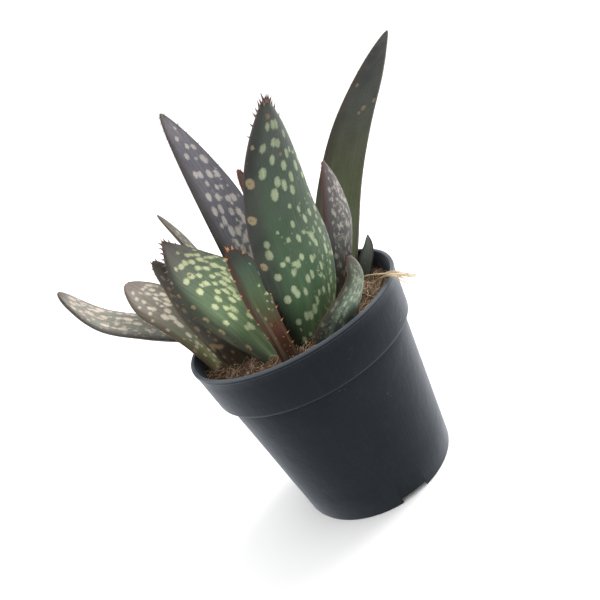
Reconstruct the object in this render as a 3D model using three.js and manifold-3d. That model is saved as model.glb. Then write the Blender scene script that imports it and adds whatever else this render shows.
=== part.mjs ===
// Succulent with spotted, toothed leaves in a round nursery pot. Millimetres, +Z up.
import * as THREE from 'three';
import { mergeVertices } from 'three/addons/utils/BufferGeometryUtils.js';
import Module from 'manifold-3d';

const wasm = await Module();
wasm.setup();

// Middle of the whole plant seen from above, measured from the pot's axis: it stands at the origin
const MIDDLE_X = 14.64990;
const MIDDLE_Y = 2.62845;

// Pot: outside radii, heights and wall
const POT_HEIGHT = 95;
const RIM_R = 52.5;
const COLLAR_R = 50.2;
const COLLAR_Z = 73;
const BODY_R = 47.3;
const BASE_R = 39.5;
const WALL = 1.2;
const FLOOR_Z = 3;
const FOOT_WIDTH = 2.3;
const POT_SIDES = 48;
const NOTCHES = 3;
const NOTCH_WIDTH = 14;
const NOTCH_HEIGHT = 2.7;
const NOTCH_TURN = -78;
const DRAINS = 6;
const DRAIN_R = 4;
const DRAIN_SIDES = 10;
const DRAIN_RING_R = 26;

// Soil and the clearance that every piece keeps from its neighbours
const CLEAR = 0.35;
const SOIL_Z = 86;
const SOIL_RINGS = 8;
const SOIL_SIDES = 36;
const SOIL_LUMP = 1.1;

// Leaves
const ROOT_DEPTH = 5;
const HOLE_LENGTH = 20;
const MIN_HALF_WIDTH = 0.4;
const MIN_THICKNESS = 0.8;
const TOOTH_BASE = 0.75;
const TOOTH_THICK = 0.5;
const TOOTH_SUNK = 0.9;
const SLIVER = 0.02;

const rad = (deg) => deg * Math.PI / 180;

function randomFrom(seed) {
  let a = seed;
  return () => {
    a = (a + 0x6D2B79F5) | 0;
    let t = Math.imul(a ^ (a >>> 15), 1 | a);
    t = (t + Math.imul(t ^ (t >>> 7), 61 | t)) ^ t;
    return ((t ^ (t >>> 14)) >>> 0) / 4294967296;
  };
}

function toManifold(points, faces) {
  const mesh = new wasm.Mesh({
    numProp: 3,
    vertProperties: new Float32Array(points.flatMap((p) => [p.x, p.y, p.z])),
    triVerts: new Uint32Array(faces.flat()),
  });
  const solid = new wasm.Manifold(mesh);
  if (solid.volume() > 0) return solid;
  mesh.triVerts = mesh.triVerts.reverse();
  return new wasm.Manifold(mesh);
}

// Rings of points joined into a closed tube with a fan at each end
function solidOf(geometry) {
  geometry.deleteAttribute('normal');
  geometry.deleteAttribute('uv');
  const merged = mergeVertices(geometry);
  const solid = new wasm.Manifold(new wasm.Mesh({
    numProp: 3,
    vertProperties: new Float32Array(merged.getAttribute('position').array),
    triVerts: new Uint32Array(merged.getIndex().array),
  }));
  if (solid.volume() <= 0) throw new Error('a cutting solid has its faces turned inwards');
  return solid;
}

function upright(radius, height, sides) {
  return new THREE.CylinderGeometry(radius, radius, height, sides).rotateX(Math.PI / 2);
}

function tube(rings) {
  const size = rings[0].length;
  const points = rings.flat();
  const faces = [];
  for (let i = 0; i < rings.length - 1; i++) {
    for (let j = 0; j < size; j++) {
      const a = i * size + j;
      const b = i * size + (j + 1) % size;
      faces.push([a, b, b + size], [a, b + size, a + size]);
    }
  }
  const last = (rings.length - 1) * size;
  for (const [start, flip] of [[0, true], [last, false]]) {
    const centre = new THREE.Vector3();
    for (let j = 0; j < size; j++) centre.addScaledVector(points[start + j], 1 / size);
    points.push(centre);
    for (let j = 0; j < size; j++) {
      const a = start + j;
      const b = start + (j + 1) % size;
      faces.push(flip ? [points.length - 1, b, a] : [points.length - 1, a, b]);
    }
  }
  return toManifold(points, faces);
}

// A profile of [radius, height] pairs from axis to axis, turned round Z
function turned(profile, sides, height = (r, angle, z) => z) {
  const points = [];
  const faces = [];
  const inner = profile.slice(1, -1);
  for (const [r, z] of inner) {
    for (let j = 0; j < sides; j++) {
      const a = 2 * Math.PI * j / sides;
      points.push(new THREE.Vector3(r * Math.cos(a), r * Math.sin(a), height(r, a, z)));
    }
  }
  for (let i = 0; i < inner.length - 1; i++) {
    for (let j = 0; j < sides; j++) {
      const a = i * sides + j;
      const b = i * sides + (j + 1) % sides;
      faces.push([a, b, b + sides], [a, b + sides, a + sides]);
    }
  }
  const [first, last] = [profile[0], profile[profile.length - 1]];
  points.push(new THREE.Vector3(0, 0, height(0, 0, first[1])));
  points.push(new THREE.Vector3(0, 0, height(0, 0, last[1])));
  const top = (inner.length - 1) * sides;
  for (let j = 0; j < sides; j++) {
    const k = (j + 1) % sides;
    faces.push([points.length - 2, k, j], [points.length - 1, top + j, top + k]);
  }
  return toManifold(points, faces);
}

// Smooth curve through evenly spaced values
function through(values, t) {
  const n = values.length - 1;
  const x = Math.min(Math.max(t, 0), 1) * n;
  const i = Math.min(Math.floor(x), n - 1);
  const f = x - i;
  const b = values[i];
  const c = values[i + 1];
  const a = i > 0 ? values[i - 1] : 2 * b - c;
  const d = i < n - 1 ? values[i + 2] : 2 * c - b;
  return b + 0.5 * f * (c - a + f * (2 * a - 5 * b + 4 * c - d + f * (3 * (b - c) + d - a)));
}

// at: root on the soil; heading and lean: which way and how far the leaf leans;
// curl, swerve and twist: their change along the leaf; width and bow: six stations
// from root to tip; fold: how far the edges rise; up: share of the thickness on the
// upper face; teeth: spacing, length and where they begin
const LEAVES = [
  {
    name: 'leaf_tall_right', at: [23.6, 20], heading: 22.2, lean: 34.8, curl: 25.6, swerve: 0.4,
    roll: -16.6, twist: -4.6, length: 139.1, thick: 7.1, fold: 0.3, up: 0.12,
    width: [28.5, 29, 26.9, 23.8, 17, 6], bow: [0, 0, -1.1, -0.7, 1, 0.7],
    teeth: [11, 0.8, 0.3], colour: 0x4b5746,
  },
  {
    name: 'leaf_large_front', at: [1.5, -16.6], heading: -49.1, lean: 21, curl: 2.5, swerve: -1.5,
    roll: 10.8, twist: 2.6, length: 110, thick: 13, fold: 0.08, up: 0.42,
    width: [22.5, 35, 38.2, 33.5, 24.9, 9.5], bow: [0, -2.9, -1.9, 1.5, 1.9, -0.8],
    teeth: [6, 1.8, 0.1], colour: 0x3f5f4a,
  },
  {
    name: 'leaf_back_left', at: [-10.9, 11.9], heading: 129, lean: -10.4, curl: 12.3, swerve: -0.8,
    roll: 9, twist: 2.1, length: 116, thick: 8, fold: 0.21, up: 0.15,
    width: [21, 23.5, 24.2, 22.4, 15.3, 6], bow: [0, 1.1, 2.3, 2.1, 0.3, -1.8],
    teeth: [7, 1, 0.2], colour: 0x57525a,
  },
  {
    name: 'leaf_grey_right', at: [19.8, 1.9], heading: -32.7, lean: 28.8, curl: -14.5, swerve: -2,
    roll: 16.7, twist: 4.1, length: 74, thick: 7, fold: 0.12, up: 0.3,
    width: [18.6, 20.3, 21.1, 19.7, 13, 4.8], bow: [0, 0.1, -0.6, -1.8, -0.4, 1.6],
    teeth: [4, 0.9, 0.25], colour: 0x5a5557,
  },
  {
    name: 'leaf_short_front', at: [10.8, -30.7], heading: -41, lean: 39.9, curl: -14.1, swerve: -0.7,
    roll: 38.4, twist: 5.1, length: 45.4, thick: 6.5, fold: 0.17, up: 0.3,
    width: [20.5, 20, 15.5, 10.5, 7, 4.9], bow: [0, 1.7, 1.3, -1.1, -2.5, 0],
    teeth: [3.4, 0.9, 0.25], colour: 0x56645a,
  },
  {
    name: 'leaf_small_right', at: [38.2, 6.1], heading: 10.6, lean: 28.2, curl: -7.8, swerve: 0.9,
    roll: -24.6, twist: -3.3, length: 26.3, thick: 4, fold: 0.17, up: 0.2,
    width: [9.4, 9.2, 9.2, 8.2, 5.4, 1.8], bow: [0, -3, -2.6, -1, 0.6, 0.8],
    teeth: null, colour: 0x3d4743,
  },
  {
    name: 'leaf_broad_left', at: [-10.6, -19.4], heading: 167.3, lean: 16.6, curl: -0.9, swerve: -1.8,
    roll: 51, twist: 4.3, length: 75.1, thick: 8.9, fold: 0.17, up: 0.15,
    width: [13.5, 23.2, 29.8, 30.6, 21, 4.5], bow: [0, 0.9, 1.2, 0.3, -1.3, -0.1],
    teeth: [5.4, 1.6, 0.15], colour: 0x4f6b4b,
  },
  {
    name: 'leaf_channelled', at: [-10.2, -33], heading: 129.7, lean: -3.7, curl: 3.9, swerve: -0.7,
    roll: 30.4, twist: 1.6, length: 60.4, thick: 4.2, fold: 0.4, up: 0.1,
    width: [7.5, 8, 9, 11.3, 12, 8], bow: [0, 0.1, 0, 0.2, 1.4, 0.1],
    teeth: [5.2, 1.6, 0.2], colour: 0x4c6a45,
  },
  {
    name: 'leaf_under_left', at: [-31.2, -4.5], heading: 213.2, lean: 5.4, curl: 9.3, swerve: 2.3,
    roll: -23, twist: -6.2, length: 67.2, thick: 6.8, fold: 0.18, up: 0.2,
    width: [19.5, 20, 20, 17.8, 13, 7.2], bow: [0, -0.5, 0.8, 0.9, -0.5, -1],
    teeth: [5.4, 1.5, 0.2], colour: 0x3c4438,
  },
  {
    name: 'leaf_outer_left', at: [-36.9, 5.3], heading: 183.4, lean: 16.1, curl: -2.6, swerve: -3.3,
    roll: 51.7, twist: 9, length: 64.2, thick: 6.9, fold: 0.16, up: 0.15,
    width: [18.8, 20.4, 21.5, 21.5, 18.7, 9.8], bow: [0, 2.1, 2.8, 1.5, -1.6, -3.7],
    teeth: [6, 1.1, 0.2], colour: 0x65645c,
  },
  {
    name: 'leaf_arching_left', at: [-16.8, 24.6], heading: 196.8, lean: 55.6, curl: -29.1, swerve: -1.8,
    roll: 30.8, twist: 10.2, length: 101.6, thick: 6.8, fold: 0.14, up: 0.15,
    width: [13.9, 14.4, 14.9, 15.4, 13.9, 7.8], bow: [0, 0.5, 0.2, -1.9, -4.7, 0],
    teeth: [6.5, 0.9, 0.2], colour: 0x6f746a,
  },
  {
    name: 'leaf_thin_back', at: [-22.1, 36], heading: 151.2, lean: 1.8, curl: 18.3, swerve: -0.4,
    roll: 3.3, twist: 1.3, length: 77.2, thick: 5.9, fold: 0.15, up: 0.15,
    width: [12.6, 10.6, 8.6, 6.8, 5.3, 3.2], bow: [0, 0, -0.1, -0.2, 0.3, -0.2],
    teeth: [8, 0.7, 0.25], colour: 0x646b62,
  },
  {
    name: 'leaf_inner_back', at: [2.5, 1], heading: 114, lean: -14.5, curl: 3.9, swerve: 0,
    roll: 1.7, twist: 0.6, length: 84.4, thick: 6, fold: 0.2, up: 0.15,
    width: [14.7, 14.1, 12.8, 10.9, 8.4, 5], bow: [0, 0.1, 0.4, 1, 1.6, 0.1],
    teeth: [6, 1.2, 0.35], colour: 0x5c534c,
  },
];

function stationFrame(leaf, t) {
  const lean = rad(leaf.lean + leaf.curl * t ** 1.5);
  const head = rad(leaf.heading + leaf.swerve * t);
  const along = new THREE.Vector3(
    Math.sin(lean) * Math.cos(head), Math.sin(lean) * Math.sin(head), Math.cos(lean));
  const face = new THREE.Vector3(
    -Math.cos(lean) * Math.cos(head), -Math.cos(lean) * Math.sin(head), Math.sin(lean));
  const side = along.clone().cross(face);
  const roll = rad(leaf.roll + leaf.twist * t);
  const across = side.clone().multiplyScalar(Math.cos(roll)).addScaledVector(face, Math.sin(roll));
  const upper = face.clone().multiplyScalar(Math.cos(roll)).addScaledVector(side, -Math.sin(roll));
  return { along, across, upper };
}

const STEPS = 60;

// Centre line, half width, thickness and axes at any place along a leaf
function leafStations(leaf) {
  const line = [new THREE.Vector3(leaf.at[0], leaf.at[1], SOIL_Z - ROOT_DEPTH)];
  let before = stationFrame(leaf, 0).along;
  for (let i = 1; i <= STEPS; i++) {
    const next = stationFrame(leaf, i / STEPS).along;
    const step = before.clone().add(next).multiplyScalar(leaf.length / STEPS / 2);
    line.push(line[i - 1].clone().add(step));
    before = next;
  }
  const cap = (t) => Math.sqrt(Math.max(0, 1 - t ** 14));
  const half = (t) => Math.max(through(leaf.width, t) / 2 * cap(t), MIN_HALF_WIDTH);
  const widest = Math.max(...leaf.width) / 2;
  return (t) => {
    const x = t * STEPS;
    const i = Math.min(Math.floor(x), STEPS - 1);
    const frame = stationFrame(leaf, t);
    const centre = line[i].clone().lerp(line[i + 1], x - i);
    centre.addScaledVector(frame.across, through(leaf.bow, t));
    const hw = half(t);
    const thin = Math.min(1, 2.6 * hw / widest) ** 0.7;
    const thick = Math.max(leaf.thick * (1 - 0.5 * t) * thin, MIN_THICKNESS);
    const fold = leaf.fold * (1 - 0.6 * t);
    return { ...frame, centre, hw, thick, fold };
  };
}

function leafRing(leaf, s, grow, columns) {
  const ring = [];
  const put = (j, share, lift) => {
    const u = Math.cos(Math.PI * j / (columns - 1));
    const bulge = share * s.thick * Math.sqrt(Math.max(0, 1 - u * u));
    const point = s.centre.clone().addScaledVector(s.across, (s.hw + grow) * u);
    ring.push(point.addScaledVector(s.upper, s.fold * s.hw * u * u + bulge + lift));
  };
  const ends = grow > 0 ? 0 : 1;
  for (let j = 0; j < columns; j++) put(j, leaf.up, grow);
  for (let j = columns - 1 - ends; j >= ends; j--) put(j, leaf.up - 1, -grow);
  return ring;
}

function leafBody(leaf, grow = 0, end = 1) {
  const stations = leafStations(leaf);
  const columns = leaf.length > 80 ? 7 : 6;
  const count = end < 1 ? 3 : Math.round(leaf.length / 6.5) + 6;
  const rings = [];
  for (let i = 0; i <= count; i++) {
    rings.push(leafRing(leaf, stations(end * (1 - (1 - i / count) ** 1.3)), grow, columns));
  }
  if (grow > 0) {
    const below = stations(0);
    const above = stations(end);
    below.centre.addScaledVector(below.along, -grow);
    above.centre.addScaledVector(above.along, grow);
    rings.unshift(leafRing(leaf, below, grow, columns));
    rings.push(leafRing(leaf, above, grow, columns));
  }
  return tube(rings);
}

// One tooth: a three-sided point that starts inside the leaf's edge
function tooth(root, out, along, upper, length) {
  const base = root.clone().addScaledVector(out, -TOOTH_SUNK);
  const corner = (a, u) => base.clone().addScaledVector(along, a).addScaledVector(upper, u);
  const points = [
    corner(TOOTH_BASE, 0), corner(-TOOTH_BASE, TOOTH_THICK), corner(-TOOTH_BASE, -TOOTH_THICK),
    root.clone().addScaledVector(out, length),
  ];
  return toManifold(points, [[0, 1, 3], [1, 2, 3], [2, 0, 3], [0, 2, 1]]);
}

function leafTeeth(leaf, random) {
  const [spacing, length, start] = leaf.teeth;
  const stations = leafStations(leaf);
  const teeth = [];
  for (const edge of [1, -1]) {
    let t = start;
    while (t < 0.995) {
      const s = stations(t);
      const root = s.centre.clone().addScaledVector(s.across, edge * s.hw);
      root.addScaledVector(s.upper, s.fold * s.hw);
      const out = s.across.clone().multiplyScalar(edge * (1 - 0.55 * t ** 8));
      out.addScaledVector(s.along, 0.35 + 0.5 * t ** 8).normalize();
      const reach = length * (0.55 + 0.75 * t ** 3) * (0.8 + 0.4 * random());
      teeth.push(tooth(root, out, s.along, s.upper, reach));
      t += spacing * (1.25 - 0.8 * t ** 2) * (0.8 + 0.4 * random()) / leaf.length;
    }
  }
  return teeth;
}

function soilHeight(r, angle, z) {
  if (z < SOIL_Z - 1) return z;
  const x = r * Math.cos(angle);
  const y = r * Math.sin(angle);
  const lumps = Math.sin(0.31 * x + 1.3) * Math.cos(0.27 * y - 0.4)
    + 0.6 * Math.sin(0.72 * x - 0.55 * y + 2.1) + 0.4 * Math.cos(0.9 * y + 0.5 * x);
  return z + SOIL_LUMP * 0.5 * lumps + 1.2 * (1 - (r / RIM_R) ** 2);
}

function potSolid() {
  const inside = POT_HEIGHT - 1.5;
  const profile = [
    [0, FLOOR_Z], [BASE_R - FOOT_WIDTH, FLOOR_Z], [BASE_R - FOOT_WIDTH, 0], [BASE_R - 0.2, 0],
    [BASE_R, 0.4], [BODY_R, COLLAR_Z], [COLLAR_R - 0.8, COLLAR_Z], [COLLAR_R - 0.1, COLLAR_Z + 0.5],
    [COLLAR_R + 0.1, COLLAR_Z + 1.5], [RIM_R - 0.5, POT_HEIGHT - 2.2], [RIM_R, POT_HEIGHT - 1.7],
    [RIM_R, POT_HEIGHT - 0.5], [RIM_R - 0.4, POT_HEIGHT], [RIM_R - 1.4, POT_HEIGHT],
    [RIM_R - 1.8, POT_HEIGHT - 0.5], [RIM_R - 0.5 - WALL, inside - 0.7],
    [COLLAR_R - WALL, COLLAR_Z + 2], [BODY_R - WALL, COLLAR_Z - 0.6],
    [BASE_R - WALL + 0.1, FLOOR_Z + WALL + 1], [BASE_R - WALL - 0.9, FLOOR_Z + WALL],
    [0, FLOOR_Z + WALL],
  ];
  let pot = turned(profile, POT_SIDES);
  for (let i = 0; i < NOTCHES; i++) {
    const cut = new THREE.BoxGeometry(12, NOTCH_WIDTH, NOTCH_HEIGHT + 1)
      .translate(BASE_R, 0, (NOTCH_HEIGHT - 1) / 2)
      .rotateZ(rad(NOTCH_TURN + 360 * i / NOTCHES));
    pot = pot.subtract(solidOf(cut));
  }
  for (let i = 0; i < DRAINS; i++) {
    const hole = upright(DRAIN_R, 8, DRAIN_SIDES)
      .translate(DRAIN_RING_R, 0, FLOOR_Z)
      .rotateZ(rad(NOTCH_TURN + 30 + 360 * i / DRAINS));
    pot = pot.subtract(solidOf(hole));
  }
  return pot.subtract(solidOf(upright(DRAIN_R, 8, DRAIN_SIDES).translate(0, 0, FLOOR_Z)));
}

function soilSolid() {
  const inner = (z) => {
    const top = RIM_R - 0.5 - WALL;
    const low = COLLAR_R - WALL;
    const rise = (z - COLLAR_Z - 2) / (POT_HEIGHT - 2.2 - COLLAR_Z - 2);
    return low + (top - low) * rise - CLEAR;
  };
  const bottom = FLOOR_Z + WALL + CLEAR;
  const edge = inner(SOIL_Z);
  const profile = [
    [0, bottom], [BASE_R - WALL - 1.3, bottom], [BASE_R - WALL - CLEAR, bottom + 1.4],
    [BODY_R - WALL - CLEAR - 0.1, COLLAR_Z - 0.7], [inner(COLLAR_Z + 2), COLLAR_Z + 2.2],
    [edge, SOIL_Z - 1.5],
  ];
  for (let i = 0; i < SOIL_RINGS; i++) profile.push([edge * (1 - i / SOIL_RINGS) - 0.1, SOIL_Z]);
  profile.push([0, SOIL_Z]);
  return turned(profile, SOIL_SIDES, soilHeight);
}

// Dry straw fibres lying from the soil over the pot's edge: root, top, end and bend
const FIBRES = [
  [[40, -11, 83], [43.5, -31.2, 97.5], [48.6, -42.5, 93], 1.5],
  [[41.5, -13, 83], [44.8, -29.8, 97.3], [53, -40.5, 93.6], 0.5],
  [[39.5, -14, 83], [42.5, -32.6, 97.7], [46, -44.5, 94.8], -0.8],
];
const FIBRE_R = 0.45;
const KNOT = [40.3, -12.7, 84];

function fibre([root, top, end, bend]) {
  const curve = new THREE.CatmullRomCurve3([
    new THREE.Vector3(...root),
    new THREE.Vector3(root[0] + 1.5, root[1] - 2, 90 + bend),
    new THREE.Vector3(...top),
    new THREE.Vector3(...end),
  ]);
  const rings = [];
  for (let i = 0; i <= 9; i++) {
    const t = i / 9;
    const centre = curve.getPointAt(t);
    const along = curve.getTangentAt(t);
    const side = new THREE.Vector3(0, 0, 1).cross(along).normalize();
    const up = along.clone().cross(side);
    const ring = [];
    for (let j = 0; j < 5; j++) {
      const a = 2 * Math.PI * j / 5;
      ring.push(centre.clone().addScaledVector(side, FIBRE_R * Math.cos(a))
        .addScaledVector(up, FIBRE_R * Math.sin(a)));
    }
    rings.push(ring);
  }
  return tube(rings);
}

const group = new THREE.Group();
group.name = 'potted_spotted_aloe';
group.position.set(-MIDDLE_X, -MIDDLE_Y, 0);

function addMesh(name, solid, colour, roughness) {
  const { vertProperties, triVerts, numProp } = solid.simplify(SLIVER).getMesh();
  const position = [];
  for (let i = 0; i < vertProperties.length; i += numProp) {
    position.push(vertProperties[i], vertProperties[i + 1], vertProperties[i + 2]);
  }
  const geometry = new THREE.BufferGeometry();
  geometry.setAttribute('position', new THREE.Float32BufferAttribute(position, 3));
  geometry.setIndex(Array.from(triVerts));
  const material = new THREE.MeshStandardMaterial({ color: colour, roughness, metalness: 0 });
  const mesh = new THREE.Mesh(geometry, material);
  mesh.name = name;
  group.add(mesh);
}

const random = randomFrom(20);
const pot = potSolid();
addMesh('pot', pot, 0x2c3238, 0.5);

// A tooth that would reach a neighbour is left off; a body is cut clear of the ones before it
const grown = LEAVES.map((leaf) => leafBody(leaf, CLEAR));
const largest = (solid) => solid.decompose().sort((a, b) => b.volume() - a.volume())[0];
LEAVES.forEach((leaf, k) => {
  let solid = leafBody(leaf);
  const clear = (one) => grown.every((other, i) => i === k || one.intersect(other).isEmpty());
  if (leaf.teeth) {
    for (const one of leafTeeth(leaf, random).filter(clear)) solid = solid.add(one);
  }
  for (const other of grown.slice(0, k)) solid = solid.subtract(other);
  addMesh(leaf.name, largest(solid), leaf.colour, 0.45);
});

let tuft = fibre(FIBRES[0]);
for (const one of FIBRES.slice(1)) tuft = tuft.add(fibre(one));
const knot = new THREE.SphereGeometry(1, 10, 8).scale(2.6, 2.6, 3).translate(...KNOT);
tuft = tuft.add(solidOf(knot));
const bowl = new THREE.SphereGeometry(1, 12, 8).scale(3.2, 3.2, 3.6).translate(...KNOT);
const shaft = upright(3.2, 8, 12).translate(KNOT[0], KNOT[1], KNOT[2] + 4);
const knotHole = solidOf(bowl).add(solidOf(shaft));

let soil = soilSolid();
for (const leaf of LEAVES) {
  soil = soil.subtract(leafBody(leaf, CLEAR + 0.1, Math.min(HOLE_LENGTH / leaf.length, 0.5)));
}
soil = soil.subtract(knotHole);
addMesh('soil', largest(soil), 0x4a382a, 0.95);
addMesh('straw_tuft', tuft, 0xc9ad84, 0.8);

export default group;
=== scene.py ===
"""A potted spotted aloe: grow pot, coir, straw and thirteen toothed leaves, as finished looks for the plain solids."""

import math
import random

import bpy
import numpy as np
from mathutils import Matrix, Vector


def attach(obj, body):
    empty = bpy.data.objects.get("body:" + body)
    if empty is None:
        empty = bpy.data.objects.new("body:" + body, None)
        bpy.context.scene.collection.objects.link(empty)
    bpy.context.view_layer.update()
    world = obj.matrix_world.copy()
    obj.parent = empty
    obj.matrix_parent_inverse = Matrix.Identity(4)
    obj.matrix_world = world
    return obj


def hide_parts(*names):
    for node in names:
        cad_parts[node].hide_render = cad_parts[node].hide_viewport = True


bl_info = {
    "name": "Potted spotted aloe",
    "version": (1, 0, 0),
    "blender": (4, 5, 0),
    "location": "3D View > Sidebar > Aloe",
    "description": "Makes the skin, teeth, pot, coir and straw of a potted spotted aloe",
    "category": "Object",
}

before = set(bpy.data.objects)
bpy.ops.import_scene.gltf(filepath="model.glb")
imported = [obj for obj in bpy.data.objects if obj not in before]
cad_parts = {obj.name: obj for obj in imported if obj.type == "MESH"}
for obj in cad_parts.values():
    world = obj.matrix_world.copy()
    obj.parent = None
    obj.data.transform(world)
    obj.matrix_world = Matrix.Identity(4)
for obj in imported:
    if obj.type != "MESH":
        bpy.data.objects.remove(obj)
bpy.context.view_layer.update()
MM = 0.001

# ---------------------------------------------------------------- sizes, in millimetres

SOIL_TOP = 86.0
LEAF_FOOT = 81.0
# Every size below is measured from the pot's axis. The origin is the middle of the whole plant
# seen from above, so each finished piece is moved by this, in metres.
AXIS = Vector((-14.6499 * MM, -2.62845 * MM, 0.0))
POT_WALL = 50 * MM  # the wall's mean radius, in metres, for marks that run round it
RIM_RADIUS = 52.5
COMPOST_RADIUS = 49.6
SCATTER_RADIUS = 48.6
STRAW_REACH = 48.8
FIBRE_TOP = 90.5
FIELD_REACH = 3.0  # how far from a spot, pad or scar its distance is still worked out
LOWER_SHIFT = 200.0  # how far aside the lower face lies in the skin map
HALFWAY = 120.0  # what parts the two faces there

# at, heading, lean, curl and swerve set the centreline, roll and twist turn the blade about it,
# width and bow are read at six even stations from foot to tip, and up is the share of the
# thickness that stands on the upper face.
LEAVES = {
    "tall_right": dict(
        at=(23.6, 20), heading=22.2, lean=34.8, curl=25.6, swerve=0.4, roll=-16.6, twist=-4.6,
        length=139.1, thick=7.1, fold=0.3, up=0.12,
        width=(28.5, 29, 26.9, 23.8, 17, 6), bow=(0, 0, -1.1, -0.7, 1, 0.7),
    ),
    "large_front": dict(
        at=(1.5, -16.6), heading=-49.1, lean=21, curl=2.5, swerve=-1.5, roll=10.8, twist=2.6,
        length=110, thick=13, fold=0.08, up=0.42,
        width=(22.5, 35, 38.2, 33.5, 24.9, 9.5), bow=(0, -2.9, -1.9, 1.5, 1.9, -0.8),
    ),
    "back_left": dict(
        at=(-10.9, 11.9), heading=129, lean=-10.4, curl=12.3, swerve=-0.8, roll=9, twist=2.1,
        length=116, thick=8, fold=0.21, up=0.15,
        width=(21, 23.5, 24.2, 22.4, 15.3, 6), bow=(0, 1.1, 2.3, 2.1, 0.3, -1.8),
    ),
    "grey_right": dict(
        at=(19.8, 1.9), heading=-32.7, lean=28.8, curl=-14.5, swerve=-2, roll=16.7, twist=4.1,
        length=74, thick=7, fold=0.12, up=0.3,
        width=(18.6, 20.3, 21.1, 19.7, 13, 4.8), bow=(0, 0.1, -0.6, -1.8, -0.4, 1.6),
    ),
    "short_front": dict(
        at=(10.8, -30.7), heading=-41, lean=39.9, curl=-14.1, swerve=-0.7, roll=38.4, twist=5.1,
        length=45.4, thick=6.5, fold=0.17, up=0.3,
        width=(20.5, 20, 15.5, 10.5, 7, 4.9), bow=(0, 1.7, 1.3, -1.1, -2.5, 0),
    ),
    "small_right": dict(
        at=(38.2, 6.1), heading=10.6, lean=28.2, curl=-7.8, swerve=0.9, roll=-24.6, twist=-3.3,
        length=26.3, thick=4, fold=0.17, up=0.2,
        width=(9.4, 9.2, 9.2, 8.2, 5.4, 1.8), bow=(0, -3, -2.6, -1, 0.6, 0.8),
    ),
    "broad_left": dict(
        at=(-10.6, -19.4), heading=167.3, lean=16.6, curl=-0.9, swerve=-1.8, roll=51, twist=4.3,
        length=75.1, thick=8.9, fold=0.17, up=0.15,
        width=(13.5, 23.2, 29.8, 30.6, 21, 4.5), bow=(0, 0.9, 1.2, 0.3, -1.3, -0.1),
    ),
    "channelled": dict(
        at=(-10.2, -33), heading=129.7, lean=-3.7, curl=3.9, swerve=-0.7, roll=30.4, twist=1.6,
        length=60.4, thick=4.2, fold=0.4, up=0.1,
        width=(7.5, 8, 9, 11.3, 12, 8), bow=(0, 0.1, 0, 0.2, 1.4, 0.1),
    ),
    "under_left": dict(
        at=(-31.2, -4.5), heading=213.2, lean=5.4, curl=9.3, swerve=2.3, roll=-23, twist=-6.2,
        length=67.2, thick=6.8, fold=0.18, up=0.2,
        width=(19.5, 20, 20, 17.8, 13, 7.2), bow=(0, -0.5, 0.8, 0.9, -0.5, -1),
    ),
    "outer_left": dict(
        at=(-36.9, 5.3), heading=183.4, lean=16.1, curl=-2.6, swerve=-3.3, roll=51.7, twist=9,
        length=64.2, thick=6.9, fold=0.16, up=0.15,
        width=(18.8, 20.4, 21.5, 21.5, 18.7, 9.8), bow=(0, 2.1, 2.8, 1.5, -1.6, -3.7),
    ),
    "arching_left": dict(
        at=(-16.8, 24.6), heading=196.8, lean=55.6, curl=-29.1, swerve=-1.8, roll=30.8, twist=10.2,
        length=101.6, thick=6.8, fold=0.14, up=0.15,
        width=(13.9, 14.4, 14.9, 15.4, 13.9, 7.8), bow=(0, 0.5, 0.2, -1.9, -4.7, 0),
    ),
    "thin_back": dict(
        at=(-22.1, 36), heading=151.2, lean=1.8, curl=18.3, swerve=-0.4, roll=3.3, twist=1.3,
        length=77.2, thick=5.9, fold=0.15, up=0.15,
        width=(12.6, 10.6, 8.6, 6.8, 5.3, 3.2), bow=(0, 0, -0.1, -0.2, 0.3, -0.2),
    ),
    "inner_back": dict(
        at=(2.5, 1), heading=114, lean=-14.5, curl=3.9, swerve=0, roll=1.7, twist=0.6,
        length=84.4, thick=6, fold=0.2, up=0.15,
        width=(14.7, 14.1, 12.8, 10.9, 8.4, 5), bow=(0, 0.1, 0.4, 1, 1.6, 0.1),
    ),
}

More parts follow.
